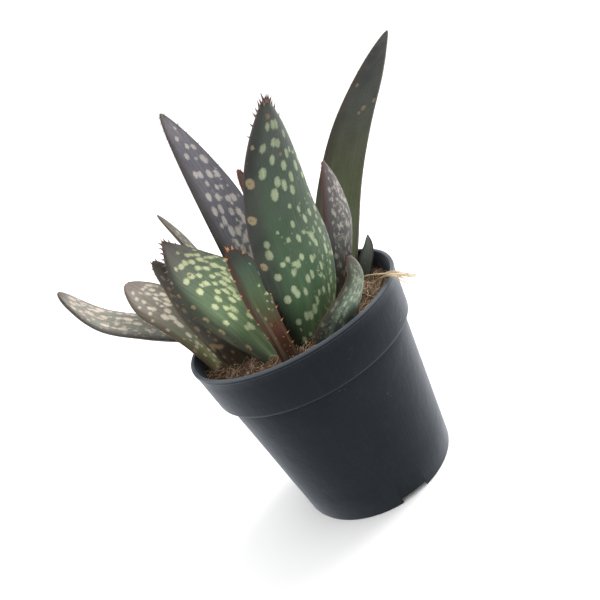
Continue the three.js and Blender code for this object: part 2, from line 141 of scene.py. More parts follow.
# ---------------------------------------------------------------- markings
# Ground colours run from foot to tip: (place, colour); they are partly the leaf's own colour and partly painted light
# and shade. A flank is (side, from, full, colour): one side darkened or lightened, partly its own tint and partly
# painted shade or light.
# A drift is (from u, to u, from t, to t, how many, shortest, longest half-length, width ratio,
# gap). A single spot is (u, t, half-length, half-width). Lengths are in millimetres.
SKINS = {
    "tall_right": dict(
        slot="leaf_olive", spot="#575e49", edge="#4a443a", stripe=0.8,
        upper=dict(
            ground=(
                (0, "#4b5831"), (0.3, "#4b542f"), (0.5, "#3c4024"), (0.7, "#1f231b"), (0.9, "#191c1d"),
                (1, "#18161a"),
            ),
            flank_tints_and_shade=((-1, 0.45, 1.0, "#29170d"),),
            spots=((0.57, 0.864, 1.1, 0.4), (0.88, 0.749, 0.7, 0.4), (-0.25, 0.737, 0.5, 0.5)),
            scars=((0.3, 0.682, 1.4), (0.86, 0.705, 1.2), (0.12, 0.664, 0.9), (-0.6, 0.772, 0.9)),
        ),
        lower=dict(
            ground=((0, "#56664a"), (0.4, "#4d5840"), (0.7, "#3f473c"), (1, "#35343a")),
            flank_tints_and_shade=((1, 0.6, 1.0, "#4a3a32"), (-1, 0.6, 1.0, "#4a3a32")),
            scars=((-0.2, 0.5, 1.2),),
            drifts=((-0.8, 0.8, 0.12, 0.45, 26, 0.7, 1.7, 0.4, 1.2),),
        ),
    ),
    "large_front": dict(
        slot="leaf_green", spot="#b0bb97", edge="#4a3a3c", stripe=0.15,
        lower=dict(
            ground=(
                (0, "#445938"), (0.12, "#4b6841"), (0.3, "#486848"), (0.55, "#2d482e"),
                (0.75, "#2b402f"), (0.9, "#2f3933"), (1, "#333433"),
            ),
            flank_tints_and_shade=((1, 0.45, 0.95, "#191818"), (-1, 0.55, 1.0, "#415243")),
            spots=(
                (0.33, 0.927, 1.4, 0.9), (-0.02, 0.927, 1.7, 0.9), (-0.24, 0.925, 1.8, 1.0),
                (-0.59, 0.882, 1.8, 0.8), (0.06, 0.873, 1.6, 1.2), (-0.14, 0.865, 1.7, 1.1),
                (0.55, 0.868, 1.6, 1.3), (0.18, 0.821, 1.9, 1.2), (-0.21, 0.786, 2.0, 1.3),
                (-0.45, 0.818, 2.0, 0.9), (-0.68, 0.759, 2.4, 1.0), (0.55, 0.791, 2.2, 1.6),
                (0.12, 0.744, 2.1, 1.4), (-0.07, 0.721, 2.4, 1.2), (-0.37, 0.735, 2.3, 1.1),
                (-0.29, 0.69, 2.2, 1.2), (0.28, 0.706, 2.6, 1.6), (-0.06, 0.642, 1.2, 0.9),
                (0.74, 0.544, 1.8, 1.2), (0.76, 0.501, 2.4, 1.6), (0.01, 0.574, 1.8, 1.0),
                (-0.38, 0.563, 2.2, 1.0), (0.75, 0.402, 1.9, 1.5), (0.57, 0.444, 1.4, 1.2),
                (0.43, 0.455, 1.5, 1.0), (0.35, 0.425, 1.4, 0.9), (0.0, 0.512, 2.1, 1.0),
                (0.25, 0.526, 1.4, 0.9), (-0.19, 0.521, 1.2, 0.9), (-0.35, 0.485, 2.7, 1.0),
                (-0.39, 0.452, 2.2, 1.0), (0.52, 0.325, 2.2, 1.3), (0.48, 0.3, 2.1, 1.3),
                (0.72, 0.295, 2.2, 1.6), (0.66, 0.18, 1.8, 1.3), (0.28, 0.291, 2.1, 0.9),
                (0.13, 0.338, 2.4, 1.1), (-0.01, 0.345, 2.6, 0.9), (-0.64, 0.395, 3.0, 1.0),
                (0.25, 0.418, 2.2, 1.1), (0.41, 0.393, 2.1, 1.0), (0.11, 0.437, 1.8, 1.1),
                (-0.12, 0.405, 2.1, 1.0), (-0.6, 0.571, 1.9, 1.0), (-0.34, 0.349, 2.3, 0.8),
                (0.16, 0.2, 2.8, 1.2), (0.43, 0.19, 2.4, 1.1), (0.31, 0.183, 2.4, 1.1),
                (-0.07, 0.254, 1.7, 0.7), (-0.22, 0.251, 1.9, 0.8), (-0.42, 0.235, 2.9, 0.8),
                (0.04, 0.228, 2.6, 0.8), (-0.3, 0.612, 1.8, 0.8), (0.44, 0.572, 0.8, 0.7),
                (0.3, 0.616, 0.5, 0.4), (0.11, 0.543, 0.4, 0.4), (0.36, 0.52, 0.4, 0.4),
            ),
            pads=(
                (0.89, 0.771, 2.1, 1.7), (0.92, 0.647, 1.9, 1.8), (0.92, 0.46, 2.0, 1.4),
                (0.93, 0.878, 0.9, 0.8),
            ),
            scars=((0.22, 0.955, 0.8), (-0.18, 0.826, 0.7)),
            drifts=(
                (-0.95, -0.15, 0.08, 0.52, 64, 0.5, 2.2, 0.38, 1.12),
                (-0.97, -0.5, 0.5, 0.84, 16, 0.7, 1.9, 0.45, 1.2),
                (-0.7, 0.45, 0.1, 0.66, 40, 0.25, 0.6, 0.75, 1.3),
                (0.3, 0.8, 0.02, 0.16, 6, 1.0, 2.0, 0.5, 1.2),
            ),
        ),
        upper=dict(
            ground=((0, "#4c5f41"), (0.4, "#4a6146"), (0.75, "#46594a"), (1, "#4c484a")),
            flank_tints_and_shade=((1, 0.5, 1.0, "#3c3537"), (-1, 0.7, 1.0, "#4c4644")),
            drifts=(
                (-0.9, 0.85, 0.15, 0.92, 60, 0.9, 2.2, 0.55, 1.35),
                (-0.9, 0.9, 0.1, 0.7, 50, 0.3, 0.9, 0.6, 1.3),
            ),
        ),
    ),
    "back_left": dict(
        slot="leaf_grey", spot="#b3ada7", edge="#3b3233", stripe=0.2,
        upper=dict(
            ground=(
                (0, "#6c7c68"), (0.3, "#6a716e"), (0.55, "#6b6b74"), (0.8, "#706d77"),
                (0.95, "#7c787f"), (1, "#60545a"),
            ),
            flank_tints_and_shade=((-1, 0.35, 0.95, "#3e3433"),),
            spots=(
                (0.43, 0.934, 0.8, 0.6), (-0.15, 0.899, 1.1, 0.9), (0.19, 0.859, 1.4, 0.9),
                (0.58, 0.846, 1.5, 0.9), (-0.23, 0.829, 1.6, 1.0), (0.6, 0.79, 2.4, 1.3),
                (0.21, 0.806, 0.8, 0.6), (-0.35, 0.757, 1.7, 1.1), (-0.12, 0.748, 1.8, 1.1),
                (0.33, 0.734, 2.2, 1.2), (0.66, 0.72, 2.1, 1.1), (-0.34, 0.663, 2.2, 1.3),
                (0.25, 0.678, 1.5, 0.8), (0.45, 0.67, 1.4, 0.7), (-0.42, 0.606, 2.4, 1.3),
                (-0.12, 0.6, 2.6, 1.1), (0.4, 0.62, 1.7, 1.3), (0.62, 0.612, 2.2, 1.2),
                (0.22, 0.57, 2.2, 1.1), (0.5, 0.553, 2.4, 1.2), (0.03, 0.644, 2.0, 1.2),
                (-0.22, 0.555, 2.6, 1.1), (-0.15, 0.505, 3.0, 1.3), (0.1, 0.49, 2.6, 1.2),
            ),
            drifts=(
                (-0.3, 0.9, 0.12, 0.52, 60, 1.2, 3.0, 0.45, 0.86),
                (-0.5, 0.9, 0.5, 0.75, 12, 0.6, 1.5, 0.6, 0.95),
            ),
        ),
        lower=dict(
            ground=((0, "#4b5544"), (0.5, "#494d48"), (1, "#4d484e")),
            flank_tints_and_shade=((-1, 0.5, 1.0, "#3b3436"), (1, 0.6, 1.0, "#40383a")),
            drifts=((-0.9, 0.9, 0.1, 0.92, 110, 0.8, 2.3, 0.5, 1.05),),
        ),
    ),
    "grey_right": dict(
        slot="leaf_grey", spot="#b0aba0", edge="#6a3a3c", stripe=0.25,
        lower=dict(
            ground=((0, "#202316"), (0.3, "#27271c"), (0.55, "#434745"), (0.8, "#5d585b"), (1, "#685d5e")),
            flank_tints_and_shade=((1, 0.6, 1.0, "#533e41"), (-1, 0.7, 1.0, "#4b4d46")),
            drifts=(
                (-0.95, 0.62, 0.1, 0.88, 150, 0.7, 1.7, 0.4, 0.95),
                (-0.9, 0.7, 0.5, 0.95, 40, 0.35, 0.8, 0.5, 1.1),
            ),
        ),
        upper=dict(
            ground=((0, "#46503f"), (0.5, "#4b4f48"), (1, "#5c5458")),
            flank_tints_and_shade=((1, 0.6, 1.0, "#5a474d"), (-1, 0.6, 1.0, "#4b403c")),
            drifts=((-0.85, 0.85, 0.1, 0.9, 60, 0.8, 1.9, 0.5, 1.1),),
        ),
    ),
    "short_front": dict(
        slot="leaf_green", spot="#9aa189", edge="#6b4a40", stripe=0.35,
        lower=dict(
            ground=((0, "#273026"), (0.3, "#4a5a52"), (0.6, "#6c7e70"), (0.85, "#545b50"), (1, "#554f48")),
            flank_tints_and_shade=((1, 0.45, 0.9, "#353627"), (-1, 0.6, 1.0, "#586b66")),
            drifts=(
                (-0.95, 0.6, 0.12, 0.92, 130, 0.5, 1.5, 0.34, 0.95),
                (0.5, 0.95, 0.15, 0.7, 26, 0.5, 1.2, 0.6, 1.1),
            ),
        ),
        upper=dict(
            ground=((0, "#404c38"), (0.5, "#4c5a48"), (1, "#5c5e54")),
            flank_tints_and_shade=((1, 0.5, 1.0, "#453f38"),),
            drifts=((-0.9, 0.9, 0.1, 0.9, 60, 0.5, 1.6, 0.4, 1.1),),
        ),
    ),
    "small_right": dict(
        slot="leaf_olive", spot="#6c766b", edge="#3a3430", stripe=0.3,
        upper=dict(
            ground=((0, "#222317"), (0.5, "#535952"), (1, "#7e867f")),
            flank_tints_and_shade=((-1, 0.3, 1.0, "#31342c"),),
            drifts=((-0.6, 0.8, 0.2, 0.9, 14, 0.3, 0.8, 0.5, 1.3),),
        ),
        lower=dict(
            ground=((0, "#3d4236"), (1, "#464b44")),
            drifts=((-0.8, 0.8, 0.1, 0.9, 18, 0.3, 0.9, 0.5, 1.3),),
        ),
    ),
    "broad_left": dict(
        slot="leaf_green", spot="#c5ca9f", edge="#3c3126", stripe=0.26,
        upper=dict(
            ground=(
                (0, "#667f5e"), (0.12, "#64805c"), (0.3, "#526b45"), (0.5, "#7d9770"), (0.7, "#76896e"),
                (0.84, "#6b6e64"), (0.94, "#615958"), (1, "#534343"),
            ),
            flank_tints_and_shade=((-1, 0.45, 0.84, "#1d1a11"),),
            spots=(
                (0.3, 0.897, 0.8, 0.6), (0.5, 0.85, 1.2, 0.7), (0.6, 0.838, 1.1, 0.7),
                (0.75, 0.811, 1.1, 0.9), (0.84, 0.75, 1.3, 0.8), (0.6, 0.785, 1.6, 0.9),
                (0.34, 0.808, 1.5, 1.0), (0.13, 0.833, 1.5, 1.1), (-0.12, 0.833, 1.4, 1.2),
                (-0.4, 0.845, 1.0, 0.8), (0.27, 0.761, 1.5, 1.1), (0.41, 0.725, 1.6, 0.9),
                (0.62, 0.704, 2.0, 1.1), (-0.11, 0.76, 1.8, 1.2), (0.08, 0.727, 1.4, 1.0),
                (-0.38, 0.759, 1.5, 1.3), (0.27, 0.67, 1.4, 0.9), (-0.13, 0.682, 1.2, 0.9),
                (-0.32, 0.665, 1.8, 1.3), (0.0, 0.669, 1.7, 1.0), (0.14, 0.632, 1.3, 0.9),
                (0.0, 0.592, 1.6, 1.0), (-0.16, 0.563, 2.1, 1.1), (-0.38, 0.547, 1.8, 1.2),
                (0.42, 0.655, 1.5, 0.7), (0.55, 0.63, 1.8, 0.8), (0.42, 0.6, 2.4, 0.9),
                (0.56, 0.57, 2.6, 0.9), (0.28, 0.6, 2.0, 0.8), (0.15, 0.557, 2.2, 0.8),
                (0.3, 0.54, 2.6, 0.8), (0.07, 0.499, 2.1, 0.8), (0.22, 0.488, 2.4, 0.8),
                (-0.1, 0.457, 2.6, 0.9), (-0.22, 0.496, 1.6, 0.9), (-0.29, 0.436, 2.7, 1.0),
                (-0.56, 0.442, 1.6, 1.1), (-0.16, 0.318, 2.4, 1.0), (-0.3, 0.33, 1.6, 0.8),
            ),
            pads=(
                (-0.79, 0.25, 1.9, 0.9), (-0.79, 0.636, 1.2, 1.0), (-0.82, 0.539, 1.6, 1.0),
                (-0.84, 0.428, 1.9, 0.9), (-0.93, 0.737, 1.0, 0.7), (-0.93, 0.812, 0.8, 0.6),
            ),
            scars=((-0.12, 0.768, 0.5),),
            drifts=(
                (0.35, 0.95, 0.25, 0.66, 26, 1.0, 2.4, 0.42, 0.95),
                (-0.1, 0.5, 0.1, 0.4, 12, 1.0, 2.6, 0.35, 1.1),
                (0.3, 0.95, 0.66, 0.86, 6, 0.8, 1.5, 0.6, 1.15),
            ),
        ),
        lower=dict(
            ground=((0, "#3d4a30"), (0.4, "#3f4c36"), (0.8, "#454a42"), (1, "#4a4142")),
            flank_tints_and_shade=((-1, 0.2, 0.9, "#342e2a"), (1, 0.7, 1.0, "#4a4038")),
            drifts=((-0.9, 0.9, 0.1, 0.9, 70, 0.8, 2.2, 0.5, 1.15),),
        ),
    ),
    "channelled": dict(
        slot="leaf_green", spot="#faffd1", edge="#5e3826", stripe=0.2,
        upper=dict(
            ground=(
                (0, "#3d332f"), (0.2, "#513426"), (0.36, "#5c3526"), (0.5, "#484e2c"),
                (0.68, "#4d6342"), (0.82, "#495d4c"), (0.93, "#333630"), (1, "#322e2c"),
            ),
            flank_tints_and_shade=((-1, 0.3, 0.75, "#40241a"),),
            spots=(
                (0.8, 0.755, 1.2, 0.6), (0.45, 0.685, 0.8, 0.5), (0.85, 0.62, 1.0, 0.5),
                (0.6, 0.84, 0.5, 0.3),
            ),
            pads=(
                (-0.4, 0.54, 1.0, 0.6), (-0.2, 0.46, 1.0, 0.6), (-0.05, 0.4, 0.9, 0.6),
                (-0.3, 0.3, 0.9, 0.5), (0.1, 0.22, 0.8, 0.5), (0.92, 0.79, 1.0, 0.7),
            ),
            drifts=((0.3, 0.95, 0.45, 0.7, 6, 0.5, 1.0, 0.5, 1.3),),
        ),
        lower=dict(
            ground=((0, "#43402a"), (0.5, "#4a5a34"), (0.85, "#4a4c3e"), (1, "#453a38")),
            flank_tints_and_shade=((-1, 0.2, 0.8, "#4a2e26"), (1, 0.5, 1.0, "#4a3a2c")),
            drifts=((-0.9, 0.9, 0.15, 0.9, 26, 0.6, 1.5, 0.55, 1.2),),
        ),
    ),
    "under_left": dict(
        slot="leaf_olive", spot="#b0986c", edge="#4a352c", stripe=0.2,
        lower=dict(
            ground=((0, "#351b08"), (0.3, "#291b06"), (0.55, "#131308"), (0.8, "#1f170d"), (1, "#30231a")),
            flank_tints_and_shade=((1, 0.4, 1.0, "#534329"), (-1, 0.6, 1.0, "#2d1f16")),
            spots=(
                (0.25, 0.62, 1.6, 1.2), (0.35, 0.46, 1.8, 1.5), (0.3, 0.8, 1.2, 0.9),
                (0.3, 0.3, 1.6, 2.6), (0.0, 0.28, 1.3, 2.2), (0.5, 0.27, 1.3, 1.6),
            ),
            drifts=(
                (-0.7, 0.8, 0.05, 0.3, 12, 0.6, 1.3, 0.7, 1.3),
                (-0.8, 0.5, 0.3, 0.9, 20, 0.7, 1.6, 0.6, 1.3),
            ),
        ),
        upper=dict(
            ground=((0, "#4a4c33"), (0.5, "#4c5440"), (0.8, "#55544c"), (1, "#4e4644")),
            flank_tints_and_shade=((1, 0.6, 1.0, "#3a3026"), (-1, 0.6, 1.0, "#3a3026")),
            drifts=((-0.8, 0.8, 0.15, 0.92, 46, 0.8, 1.9, 0.55, 1.15),),
        ),
    ),
    "outer_left": dict(
        slot="leaf_grey", spot="#cfc5b4", edge="#5a4a40", stripe=0.25,
        upper=dict(
            ground=(
                (0, "#91975c"), (0.25, "#777b4b"), (0.45, "#737a62"), (0.65, "#878275"),
                (0.9, "#aba49b"), (1, "#978883"),
            ),
            flank_tints_and_shade=((-1, 0.55, 1.0, "#544731"),),
            spots=(
                (-0.29, 0.924, 0.9, 0.7), (-0.41, 0.877, 1.0, 0.8), (-0.28, 0.828, 1.2, 0.8),
                (0.24, 0.844, 1.4, 0.8), (0.55, 0.839, 1.3, 0.8), (-0.65, 0.826, 0.8, 0.8),
                (0.19, 0.779, 1.4, 0.9), (0.37, 0.891, 0.9, 0.7), (-0.37, 0.77, 1.2, 0.9),
                (-0.3, 0.742, 1.3, 0.9), (-0.58, 0.743, 1.0, 0.9), (0.2, 0.694, 1.8, 1.0),
                (-0.07, 0.659, 1.9, 1.1), (-0.38, 0.648, 2.1, 1.3), (-0.82, 0.699, 0.9, 0.8),
                (-0.31, 0.538, 3.0, 1.0), (-0.82, 0.577, 1.0, 0.8), (-0.46, 0.433, 1.9, 1.0),
                (-0.5, 0.35, 1.6, 0.8), (0.55, 0.76, 1.8, 1.0), (-0.23, 0.6, 2.3, 1.1),
            ),
            pads=((-0.88, 0.33, 1.4, 0.9),),
            drifts=(
                (0.0, 0.9, 0.2, 0.9, 50, 0.9, 2.2, 0.5, 0.98),
                (-0.8, 0.1, 0.1, 0.5, 14, 0.8, 1.8, 0.5, 1.1),
            ),
        ),
        lower=dict(
            ground=((0, "#444a35"), (0.5, "#4d4e44"), (1, "#544c48")),
            flank_tints_and_shade=((-1, 0.4, 1.0, "#3b332b"), (1, 0.7, 1.0, "#4a423a")),
            drifts=((-0.9, 0.9, 0.1, 0.9, 60, 0.8, 2.0, 0.55, 1.1),),
        ),
    ),
    "arching_left": dict(
        slot="leaf_grey", spot="#aea194", edge="#3b3229", stripe=0.3,
        upper=dict(
            ground=(
                (0, "#1e2318"), (0.4, "#1d2219"), (0.6, "#494b40"), (0.8, "#838379"), (0.95, "#8a857e"),
                (1, "#564843"),
            ),
            flank_tints_and_shade=((-1, 0.5, 0.95, "#1b110b"), (1, 0.7, 1.0, "#9b9a96")),
            drifts=(
                (-0.5, 0.95, 0.3, 0.94, 86, 0.9, 2.6, 0.38, 0.92),
                (-0.9, -0.4, 0.5, 0.95, 14, 0.5, 1.1, 0.6, 1.2),
            ),
        ),
        lower=dict(
            ground=((0, "#4a4e3c"), (0.6, "#45443a"), (1, "#4a4038")),
            flank_tints_and_shade=((-1, 0.3, 0.9, "#322b20"), (1, 0.6, 1.0, "#4a453c")),
            drifts=((-0.9, 0.9, 0.2, 0.92, 76, 0.8, 2.1, 0.5, 1.1),),
        ),
    ),
    "thin_back": dict(
        slot="leaf_grey", spot="#a39c8c", edge="#5c4c42", stripe=0.35,
        upper=dict(
            ground=((0, "#4f5a46"), (0.5, "#5b6254"), (0.85, "#6a675e"), (1, "#5c4a42")),
            flank_tints_and_shade=((-1, 0.3, 1.0, "#4c4840"),),
            drifts=((-0.8, 0.8, 0.15, 0.9, 34, 0.7, 2.0, 0.35, 1.1),),
        ),
        lower=dict(
            ground=((0, "#4a5340"), (0.6, "#54584c"), (1, "#544640")),
            flank_tints_and_shade=((1, 0.6, 1.0, "#4c463c"),),
            drifts=((-0.9, 0.9, 0.12, 0.9, 60, 0.7, 1.9, 0.4, 1.05),),
        ),
    ),
    "inner_back": dict(
        slot="leaf_grey", spot="#a89a88", edge="#6e3a34", stripe=0.25,
        upper=dict(
            ground=((0, "#55603f"), (0.5, "#56604c"), (0.85, "#5c5450"), (1, "#6a4a42")),
            flank_tints_and_shade=((-1, 0.5, 1.0, "#5a3a34"), (1, 0.6, 1.0, "#5a3a34")),
            drifts=((-0.8, 0.8, 0.15, 0.9, 40, 0.8, 2.0, 0.45, 1.1),),
        ),
        lower=dict(
            ground=((0, "#4c5840"), (0.5, "#4e564a"), (0.85, "#564e4c"), (1, "#6a4a42")),
            flank_tints_and_shade=((1, 0.6, 1.0, "#5a3a34"), (-1, 0.6, 1.0, "#5a3a34")),
            drifts=((-0.9, 0.9, 0.1, 0.88, 70, 0.8, 2.1, 0.5, 1.05),),
        ),
    ),
}

# Teeth: "rule" is (spacing, length, from t) for each margin (+1 or -1), and "seen" lists single
# teeth as (u, t, length, face), where face is -1 for the lower and 1 for the upper.
PALE_HORN = ("#c08558", "#3f1812")
DARK_HORN = ("#5c4038", "#2c1c1c")
RED_HORN = ("#8a3d34", "#431318")
TEETH = {
    "tall_right": dict(horn=DARK_HORN, rule={1: (9, 0.8, 0.35), -1: (9, 0.8, 0.35)}),
    "large_front": dict(
        horn=DARK_HORN, rule={-1: (7.5, 1.2, 0.2)},
        seen=(
            (1, 1.0, 4.0, -1), (1, 0.985, 3.8, -1), (-1, 0.99, 3.8, -1), (0.2, 0.998, 4.2, -1),
            (-0.4, 0.996, 3.8, -1), (1, 0.96, 3.6, -1), (1, 0.935, 3.2, -1), (-1, 0.96, 3.2, -1),
            (-1, 0.93, 2.4, -1), (1, 0.905, 2.6, -1), (0.7, 0.992, 3.8, -1), (-0.75, 0.99, 3.6, -1),
            (0.5, 0.997, 3.9, -1),
            (-0.1, 0.998, 4.0, 1), (0.4, 0.99, 3.2, 1), (-0.5, 0.985, 3.0, 1), (1, 0.972, 3.2, -1),
            (-1, 0.975, 3.0, -1), (0.95, 0.878, 1.3, -1), (0.98, 0.835, 1.1, -1),
            (0.91, 0.771, 1.5, -1), (0.98, 0.71, 0.9, -1), (0.94, 0.647, 1.5, -1), (0.98, 0.56, 1.0, -1),
            (0.95, 0.46, 1.5, -1), (0.98, 0.36, 1.2, -1), (0.98, 0.27, 1.2, -1),
        ),
    ),
    "back_left": dict(
        horn=DARK_HORN, rule={1: (8, 1.2, 0.2), -1: (5.5, 1.3, 0.25)},
        seen=(
            (-1, 0.985, 1.5, 1), (-1, 0.965, 1.6, 1), (-1, 0.94, 1.7, 1), (-1, 0.91, 1.5, 1),
            (1, 0.99, 1.2, 1),
        ),
    ),
    "grey_right": dict(
        horn=RED_HORN, rule={1: (2.9, 0.9, 0.2), -1: (5, 0.7, 0.3)},
        seen=((1, 0.99, 2.2, -1), (1, 0.965, 2.0, -1), (-1, 0.99, 1.6, -1), (1, 0.94, 1.5, -1)),
    ),
    "short_front": dict(
        horn=RED_HORN, rule={1: (1.9, 0.8, 0.12), -1: (5, 0.5, 0.3)},
        seen=((1, 0.99, 1.6, -1), (-1, 0.99, 1.2, -1), (1, 0.96, 1.2, -1)),
    ),
    "small_right": dict(horn=DARK_HORN, rule={1: (4, 0.35, 0.3), -1: (4, 0.35, 0.3)}),
    "broad_left": dict(
        horn=DARK_HORN, rule={1: (7.5, 1.0, 0.2)},
        seen=(
            (-1, 0.99, 3.2, 1), (-1, 0.97, 3.0, 1), (-1, 0.95, 3.0, 1), (-1, 0.925, 2.8, 1),
            (-1, 0.9, 2.6, 1),
            (-1, 0.87, 2.4, 1), (1, 0.99, 2.8, 1), (1, 0.97, 2.4, 1), (1, 0.94, 1.6, 1), (0, 0.998, 2.8, 1),
            (-1, 0.835, 1.8, 1), (-0.97, 0.79, 1.8, 1), (-0.95, 0.737, 1.7, 1), (-0.85, 0.636, 1.7, 1),
            (-0.98, 0.69, 1.6, 1), (-0.97, 0.59, 1.7, 1), (-0.86, 0.539, 1.9, 1), (-0.97, 0.485, 1.6, 1),
            (-0.88, 0.428, 1.9, 1), (-0.86, 0.335, 1.7, 1), (-0.83, 0.25, 1.8, 1),
        ),
    ),
    "channelled": dict(
        horn=PALE_HORN, wide=0.75, rule={},
        seen=(
            (-1, 1.0, 3.0, 1), (0.1, 0.998, 2.6, 1), (1, 0.99, 2.8, 1), (1, 0.93, 2.9, 1),
            (-0.5, 0.99, 2.2, 1),
            (-1, 0.95, 2.8, 1), (-1, 0.88, 2.2, 1), (-1, 0.8, 2.4, 1), (-1, 0.69, 2.0, 1), (-1, 0.58, 2.2, 1),
            (1, 0.82, 1.8, 1), (1, 0.71, 1.6, 1), (1, 0.6, 2.2, 1), (1, 0.5, 2.0, 1), (0.25, 0.38, 1.9, 1),
            (0.45, 0.28, 2.4, 1), (0.6, 0.2, 2.4, 1), (0.1, 0.17, 1.8, 1), (-1, 0.46, 1.8, 1),
            (-1, 0.34, 1.8, 1), (1, 0.4, 2.2, 1), (1, 0.3, 2.2, 1), (1, 0.22, 2.0, 1),
        ),
    ),
    "under_left": dict(
        horn=DARK_HORN, rule={1: (4.6, 1.9, 0.2), -1: (6.5, 1.4, 0.2)},
        seen=((1, 0.99, 2.6, -1), (-1, 0.99, 2.4, -1), (1, 0.95, 2.4, -1), (1, 0.91, 2.2, -1)),
    ),
    "outer_left": dict(
        horn=("#8a6a48", "#3c2720"), rule={1: (8, 0.7, 0.25), -1: (6.5, 0.9, 0.25)},
        seen=((1, 0.995, 1.2, 1), (-1, 0.995, 1.3, 1), (-1, 0.96, 1.1, 1), (-0.92, 0.33, 1.3, 1)),
    ),
    "arching_left": dict(
        horn=DARK_HORN, rule={1: (9, 0.6, 0.3), -1: (5.5, 0.9, 0.25)}, seen=((-1, 0.99, 1.2, 1),),
    ),
    "thin_back": dict(horn=DARK_HORN, rule={1: (8, 0.6, 0.3), -1: (7, 0.7, 0.25)}),
    "inner_back": dict(
        horn=RED_HORN, rule={1: (5, 1.1, 0.3), -1: (4.5, 1.2, 0.3)},
        seen=((1, 0.99, 1.6, 1), (-1, 0.99, 1.6, 1), (-1, 0.96, 1.4, 1), (-1, 0.93, 1.4, 1)),
    ),
}

# ---------------------------------------------------------------- colours, nodes and pieces

FADE = {"interpolation_type": "SMOOTHSTEP"}
COLOUR_KEYS = ("ground", "mark", "edging", "horn_low", "horn_tip")


def linear(code):
    """An sRGB hex colour as linear red, green and blue."""
    parts = [int(code[i : i + 2], 16) / 255 for i in (1, 3, 5)]
    return tuple(p / 12.92 if p <= 0.04045 else ((p + 0.055) / 1.055) ** 2.4 for p in parts)


def add(tree, kind, *values, out=None, **settings):
    """Adds one node and returns its first output in use, or the one that out names.

    kind leaves off the family, so Math is ShaderNodeMath. values go to the inputs in use, in order.
    A setting with a capital is an input, with _ for a space, and any other is the node's property.
    """
    families = ("ShaderNode", "GeometryNode", "FunctionNode")
    made = tree.nodes.new(next(f + kind for f in families if hasattr(bpy.types, f + kind)))
    for key, value in settings.items():
        if key[0].islower():
            setattr(made, key, value)
    given = list(zip([socket for socket in made.inputs if socket.enabled], values))
    given += [(made.inputs[key.replace("_", " ")], value) for key, value in settings.items() if key[0].isupper()]
    for socket, value in given:
        if isinstance(value, (bpy.types.NodeSocket, list)):
            for source in value if isinstance(value, list) else [value]:
                tree.links.new(source, socket)
        else:
            socket.default_value = (*value, 1) if socket.type == "RGBA" and len(value) == 3 else value
    return made.outputs[out] if out else next((socket for socket in made.outputs if socket.enabled), None)


def new_piece(name, vertices, edges=(), polygons=(), mesh_name=None):
    """A piece in the scene, with a mesh of these points in metres."""
    mesh = bpy.data.meshes.new(mesh_name or name)
    mesh.from_pydata(vertices, edges, polygons)
    piece = bpy.data.objects.new(name, mesh)
    bpy.context.collection.objects.link(piece)
    return piece


def store(mesh, key, values):
    """Keeps an attribute on the mesh's points: numbers, or rows of three that are directions or colours."""
    values = np.asarray(values, float)
    if values.ndim == 1:
        mesh.attributes.new(key, "FLOAT", "POINT").data.foreach_set("value", values)
    elif key in COLOUR_KEYS:
        rows = np.concatenate([values, np.ones((len(values), 1))], 1)
        mesh.attributes.new(key, "FLOAT_COLOR", "POINT").data.foreach_set("color", rows.ravel())
    else:
        mesh.attributes.new(key, "FLOAT_VECTOR", "POINT").data.foreach_set("vector", values.ravel())


# ---------------------------------------------------------------- materials


def new_material(name):
    """An empty node material and its tree."""
    material = bpy.data.materials.new(name)
    material.use_nodes = True
    material.node_tree.nodes.clear()
    return material, material.node_tree


def finish_material(material, ground, coats, relief, **finish):
    """Ends the material in a Principled surface.

    coats are laid over the ground colour in turn, as (amount, colour), and relief is the bumps from
    the lowest up, as (height, depth in metres).
    """
    tree = material.node_tree
    for amount, colour in coats:
        ground = add(tree, "Mix", amount, ground, colour, data_type="RGBA")
    for height, depth in relief:
        under = {"Normal": finish["Normal"]} if "Normal" in finish else {}
        finish["Normal"] = add(tree, "Bump", Strength=1.0, Distance=depth, Height=height, **under)
    add(tree, "OutputMaterial", add(tree, "BsdfPrincipled", Base_Color=ground, **finish))
    return material


